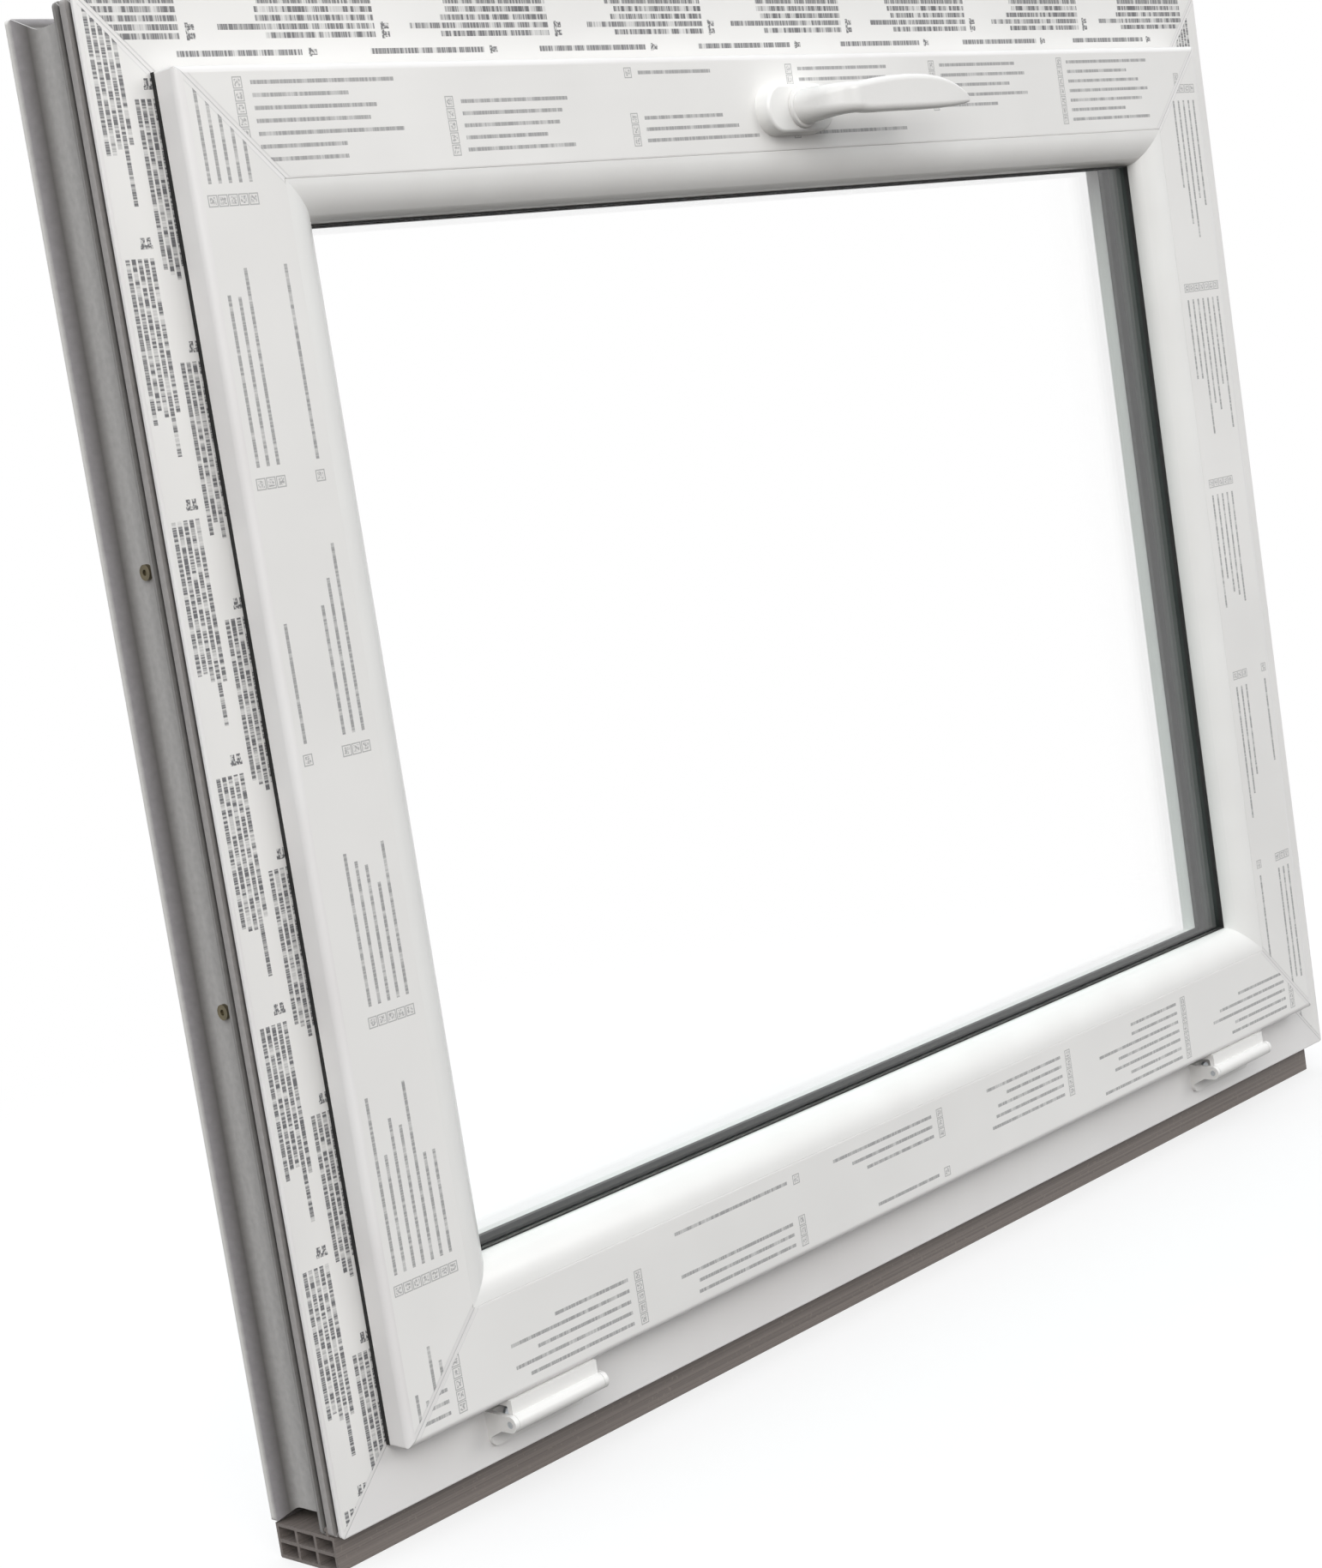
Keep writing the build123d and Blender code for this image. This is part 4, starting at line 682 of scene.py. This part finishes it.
def sash_film():
    """Film with thin print: long grey lines of small marks, well apart."""
    material, tree = new_material("polyethylene_film_thin_print")
    uv = add(tree, "UVMap", uv_map="print")
    colour, bump = film_base(tree, uv)
    along, across = in_millimetres(tree, uv)
    group = add(tree, "Math", {0: along, 1: THIN_REPEAT}, operation="DIVIDE")
    group = add(tree, "Math", {0: group}, operation="FLOOR")
    place = add(tree, "Math", {0: along, 1: THIN_REPEAT}, operation="FLOORED_MODULO")
    level = add(tree, "Math", {0: across, 1: THIN_FIRST}, operation="SUBTRACT")
    level = add(tree, "Math", {0: level, 1: THIN_ROW}, operation="DIVIDE")
    row = add(tree, "Math", {0: level}, operation="FLOOR")
    within = add(tree, "Math", {0: level, 1: row}, operation="SUBTRACT")
    middle_row = (THIN_ROWS - 1) / 2
    in_rows = add(tree, "Math", {0: row, 1: middle_row, 2: middle_row + 0.1},
                  operation="COMPARE")

    all_rows = THIN_ROWS * THIN_GROUPS
    turn = add(tree, "Math", {0: group, 1: float(THIN_GROUPS)}, operation="FLOORED_MODULO")
    index = add(tree, "Math", {0: turn, 1: float(THIN_ROWS), 2: row}, operation="MULTIPLY_ADD")
    index = add(tree, "Math", {0: index, 1: 0.5}, operation="ADD")
    index = add(tree, "Math", {0: index, 1: float(all_rows)}, operation="DIVIDE")
    printed = add(tree, "ValToRGB", {"Fac": index})
    ramp = printed.color_ramp
    ramp.interpolation = "CONSTANT"
    ramp.elements[0].color = linear("#ffffff")
    ramp.elements[1].position = LAST_BLANK / all_rows
    ramp.elements[1].color = linear("#000000")
    for blank, again in BLANK_ROWS:
        ramp.elements.new(blank / all_rows).color = linear("#000000")
        ramp.elements.new(again / all_rows).color = linear("#ffffff")

    # Lines of uneven length.
    key = add(tree, "CombineXYZ", {"X": group, "Y": row})
    chance = add(tree, "TexWhiteNoise", {"Vector": key}, noise_dimensions="2D")
    stop = add(tree, "Math", {0: chance, 1: TEXT_SPREAD, 2: TEXT_LEAST},
               operation="MULTIPLY_ADD")
    text = add(tree, "Math", {0: place, 1: TEXT_START}, operation="GREATER_THAN")
    ended = add(tree, "Math", {0: place, 1: stop}, operation="LESS_THAN")
    line = add(tree, "Math", {0: within, 1: 0.5, 2: THIN_LINE}, operation="COMPARE")
    for factor in (ended, line, glyphs(tree, along, row, 0.8, 0.62)):
        text = add(tree, "Math", {0: text, 1: factor}, operation="MULTIPLY")

    # The square and its ring.
    wide = add(tree, "Math", {0: place, 1: SQUARE_MIDDLE}, operation="SUBTRACT")
    wide = add(tree, "Math", {0: wide}, operation="ABSOLUTE")
    high = add(tree, "Math", {0: within, 1: 0.5}, operation="SUBTRACT")
    high = add(tree, "Math", {0: high, 1: THIN_ROW}, operation="MULTIPLY")
    high = add(tree, "Math", {0: high}, operation="ABSOLUTE")
    far = add(tree, "Math", {0: wide, 1: high}, operation="MAXIMUM")
    square = add(tree, "Math", {0: far, 1: SQUARE_HALF}, operation="LESS_THAN")
    ring = add(tree, "Math", {0: far, 1: RING_HALF, 2: 0.32}, operation="COMPARE")
    ring = add(tree, "Math", {0: ring, 1: 0.75}, operation="MULTIPLY")
    blots = blotted(tree, along, across, 0.8, (0.42, 0.6, 0.1, 0.85))
    square = add(tree, "Math", {0: square, 1: blots}, operation="MULTIPLY")
    square = add(tree, "Math", {0: square, 1: ring}, operation="MAXIMUM")

    ink = add(tree, "Math", {0: text, 1: square}, operation="MAXIMUM")
    for factor in (printed, in_rows, THIN_INK):
        ink = add(tree, "Math", {0: ink, 1: factor}, operation="MULTIPLY")
    colour = add(tree, "MixRGB", {"Fac": ink, "Color1": colour, "Color2": linear("#55555a")})
    shader = add(tree, "BsdfPrincipled", {"Base Color": colour, "Roughness": 0.32, "IOR": 1.51,
                                          "Normal": bump})
    add(tree, "OutputMaterial", {"Surface": shader})
    return material


SASH_FILM = sash_film()

# Where the print starts along each bar.
for side, print_start in (("head", 0.428), ("right", 0.193), ("sill", 0.296), ("left", 0.281)):
    strip = film_strip("film_on_sash_" + side, side, SASH_FACE_Y, SASH_IN, BEAD_IN - BEAD_GAP,
                       LIP_ROUNDING, LIP_WRAP, print_start)
    strip.data.materials.append(SASH_FILM)
    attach(strip, "sash")


# ---------------------------------------------------------------- glass unit

# Two panes of float glass, held apart by a bar of rolled aluminium with two rows of fine vent
# holes, and sealed round the edge. Plastic blocks carry the unit in the sash.

HOLE_ROW = 0.0024           # either side of the bar's middle
HOLE_PITCH = 0.0032
HOLE_LENGTH = 0.0012
HOLE_HALF_WIDTH = 0.0003


def float_glass():
    """Clear float glass: colourless, with a weak reflection. Light passes straight through."""
    material, tree = new_material("clear_float_glass")
    path = add(tree, "LightPath")
    glass = add(tree, "BsdfPrincipled", {"Base Color": linear("#ffffff"), "Roughness": 0.0,
                                         "IOR": 1.52, "Specular IOR Level": 0.2,
                                         "Transmission Weight": 1.0})
    clear = add(tree, "BsdfTransparent", {"Color": linear("#f8fcfa")})
    light = add(tree, "Math", {0: path.outputs["Is Shadow Ray"],
                               1: path.outputs["Is Diffuse Ray"]}, operation="MAXIMUM")
    mixed = add(tree, "MixShader", {0: light, 1: glass, 2: clear})
    add(tree, "OutputMaterial", {"Surface": mixed})
    return material


def spacer_metal():
    """Dull dark rolled metal with two rows of vent holes. On each bar either x or z is the same
    all along, so their sum runs along every bar."""
    material, tree = new_material("mill_finish_aluminium")
    place = add(tree, "TexCoord").outputs["Object"]
    lines = add(tree, "TexNoise", {"Vector": place, "Scale": 400.0, "Detail": 2.0})
    rough = add(tree, "MapRange", {"Value": lines, "To Min": 0.3, "To Max": 0.5})
    xyz = add(tree, "SeparateXYZ", {0: place})
    middle = (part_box("spacer_bar")[0].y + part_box("spacer_bar")[1].y) / 2
    across = add(tree, "Math", {0: xyz.outputs["Y"], 1: middle}, operation="SUBTRACT")
    across = add(tree, "Math", {0: across}, operation="ABSOLUTE")
    in_row = add(tree, "Math", {0: across, 1: HOLE_ROW, 2: HOLE_HALF_WIDTH},
                 operation="COMPARE")
    along = add(tree, "Math", {0: xyz.outputs["X"], 1: xyz.outputs["Z"]}, operation="ADD")
    along = add(tree, "Math", {0: along, 1: HOLE_PITCH}, operation="FLOORED_MODULO")
    open_part = add(tree, "Math", {0: along, 1: HOLE_LENGTH}, operation="LESS_THAN")
    hole = add(tree, "Math", {0: in_row, 1: open_part}, operation="MULTIPLY")
    tone = add(tree, "MixRGB", {"Fac": hole, "Color1": linear("#3c4240"),
                                "Color2": linear("#0e0f0f")})
    shader = add(tree, "BsdfPrincipled", {"Base Color": tone, "Metallic": 1.0,
                                          "Roughness": rough})
    add(tree, "OutputMaterial", {"Surface": shader})
    return material


def sealant():
    """Polysulphide run round the edge: black, half matt, in soft waves about 1 cm long."""
    material, tree = new_material("polysulphide_sealant")
    place = add(tree, "TexCoord").outputs["Object"]
    waves = add(tree, "TexNoise", {"Vector": place, "Scale": 90.0})
    bump = add(tree, "Bump", {"Height": waves, "Strength": 0.4, "Distance": 0.0005})
    shader = add(tree, "BsdfPrincipled", {"Base Color": linear("#1a1a1b"), "Roughness": 0.4,
                                          "Normal": bump})
    add(tree, "OutputMaterial", {"Surface": shader})
    return material


def block_plastic():
    """Moulded polypropylene of the setting blocks: plain blue with a soft sheen."""
    material, tree = new_material("moulded_polypropylene")
    place = add(tree, "TexCoord").outputs["Object"]
    cloud = add(tree, "TexNoise", {"Vector": place, "Scale": 70.0})
    tone = add(tree, "MixRGB", {"Fac": cloud, "Color1": linear("#2a4c8a"),
                                "Color2": linear("#31549a")})
    shader = add(tree, "BsdfPrincipled", {"Base Color": tone, "Roughness": 0.45})
    add(tree, "OutputMaterial", {"Surface": shader})
    return material


dress(float_glass(), "inner_pane", "outer_pane")
dress(spacer_metal(), "spacer_bar")
dress(sealant(), "edge_sealant")
dress(block_plastic(), "setting_blocks")


# ---------------------------------------------------------------- glazing beads

# Beads of bare white PVC with a full rounded face, mitred at the corners and snapped into the
# sash once the glass is in.

dress(GLOSSY_PVC, "glazing_bead_top", "glazing_bead_bottom", "glazing_bead_left",
      "glazing_bead_right")


# ---------------------------------------------------------------- gearbox, rail and stays

# Pressed and die-cast steel and zinc parts in the sash's groove, all plated: the faceplate, the
# rail with its rollers, the gearbox, and the flat links of the two tilt stays.

dress(ZINC_PLATE, "gearbox_case", "gearbox_cover", "gearbox_pinion", "faceplate",
      "faceplate_screws", "drive_rail", "cam_rollers", "stay_frame_link_left",
      "stay_frame_link_right", "stay_sash_link_left", "stay_sash_link_right")


# ---------------------------------------------------------------- handle

# A cast and powder-coated lever on a moulded cover, which hides the base plate and its two
# screws. Its square spindle goes through to the gearbox.

def moulded_white():
    """Moulded ABS: the whitest part, even in colour and glossy."""
    material, tree = new_material("moulded_white_abs")
    place = add(tree, "TexCoord").outputs["Object"]
    cloud = add(tree, "TexNoise", {"Vector": place, "Scale": 25.0})
    tone = add(tree, "MixRGB", {"Fac": cloud, "Color1": linear("#f0efed"),
                                "Color2": linear("#f4f4f2")})
    shader = add(tree, "BsdfPrincipled", {"Base Color": tone, "Roughness": 0.22, "IOR": 1.54})
    add(tree, "OutputMaterial", {"Surface": shader})
    return material


dress(moulded_white(), "rosette_cover")
dress(POWDER_COAT, "handle_lever")
dress(ZINC_PLATE, "rosette_base", "handle_screws", "handle_spindle")
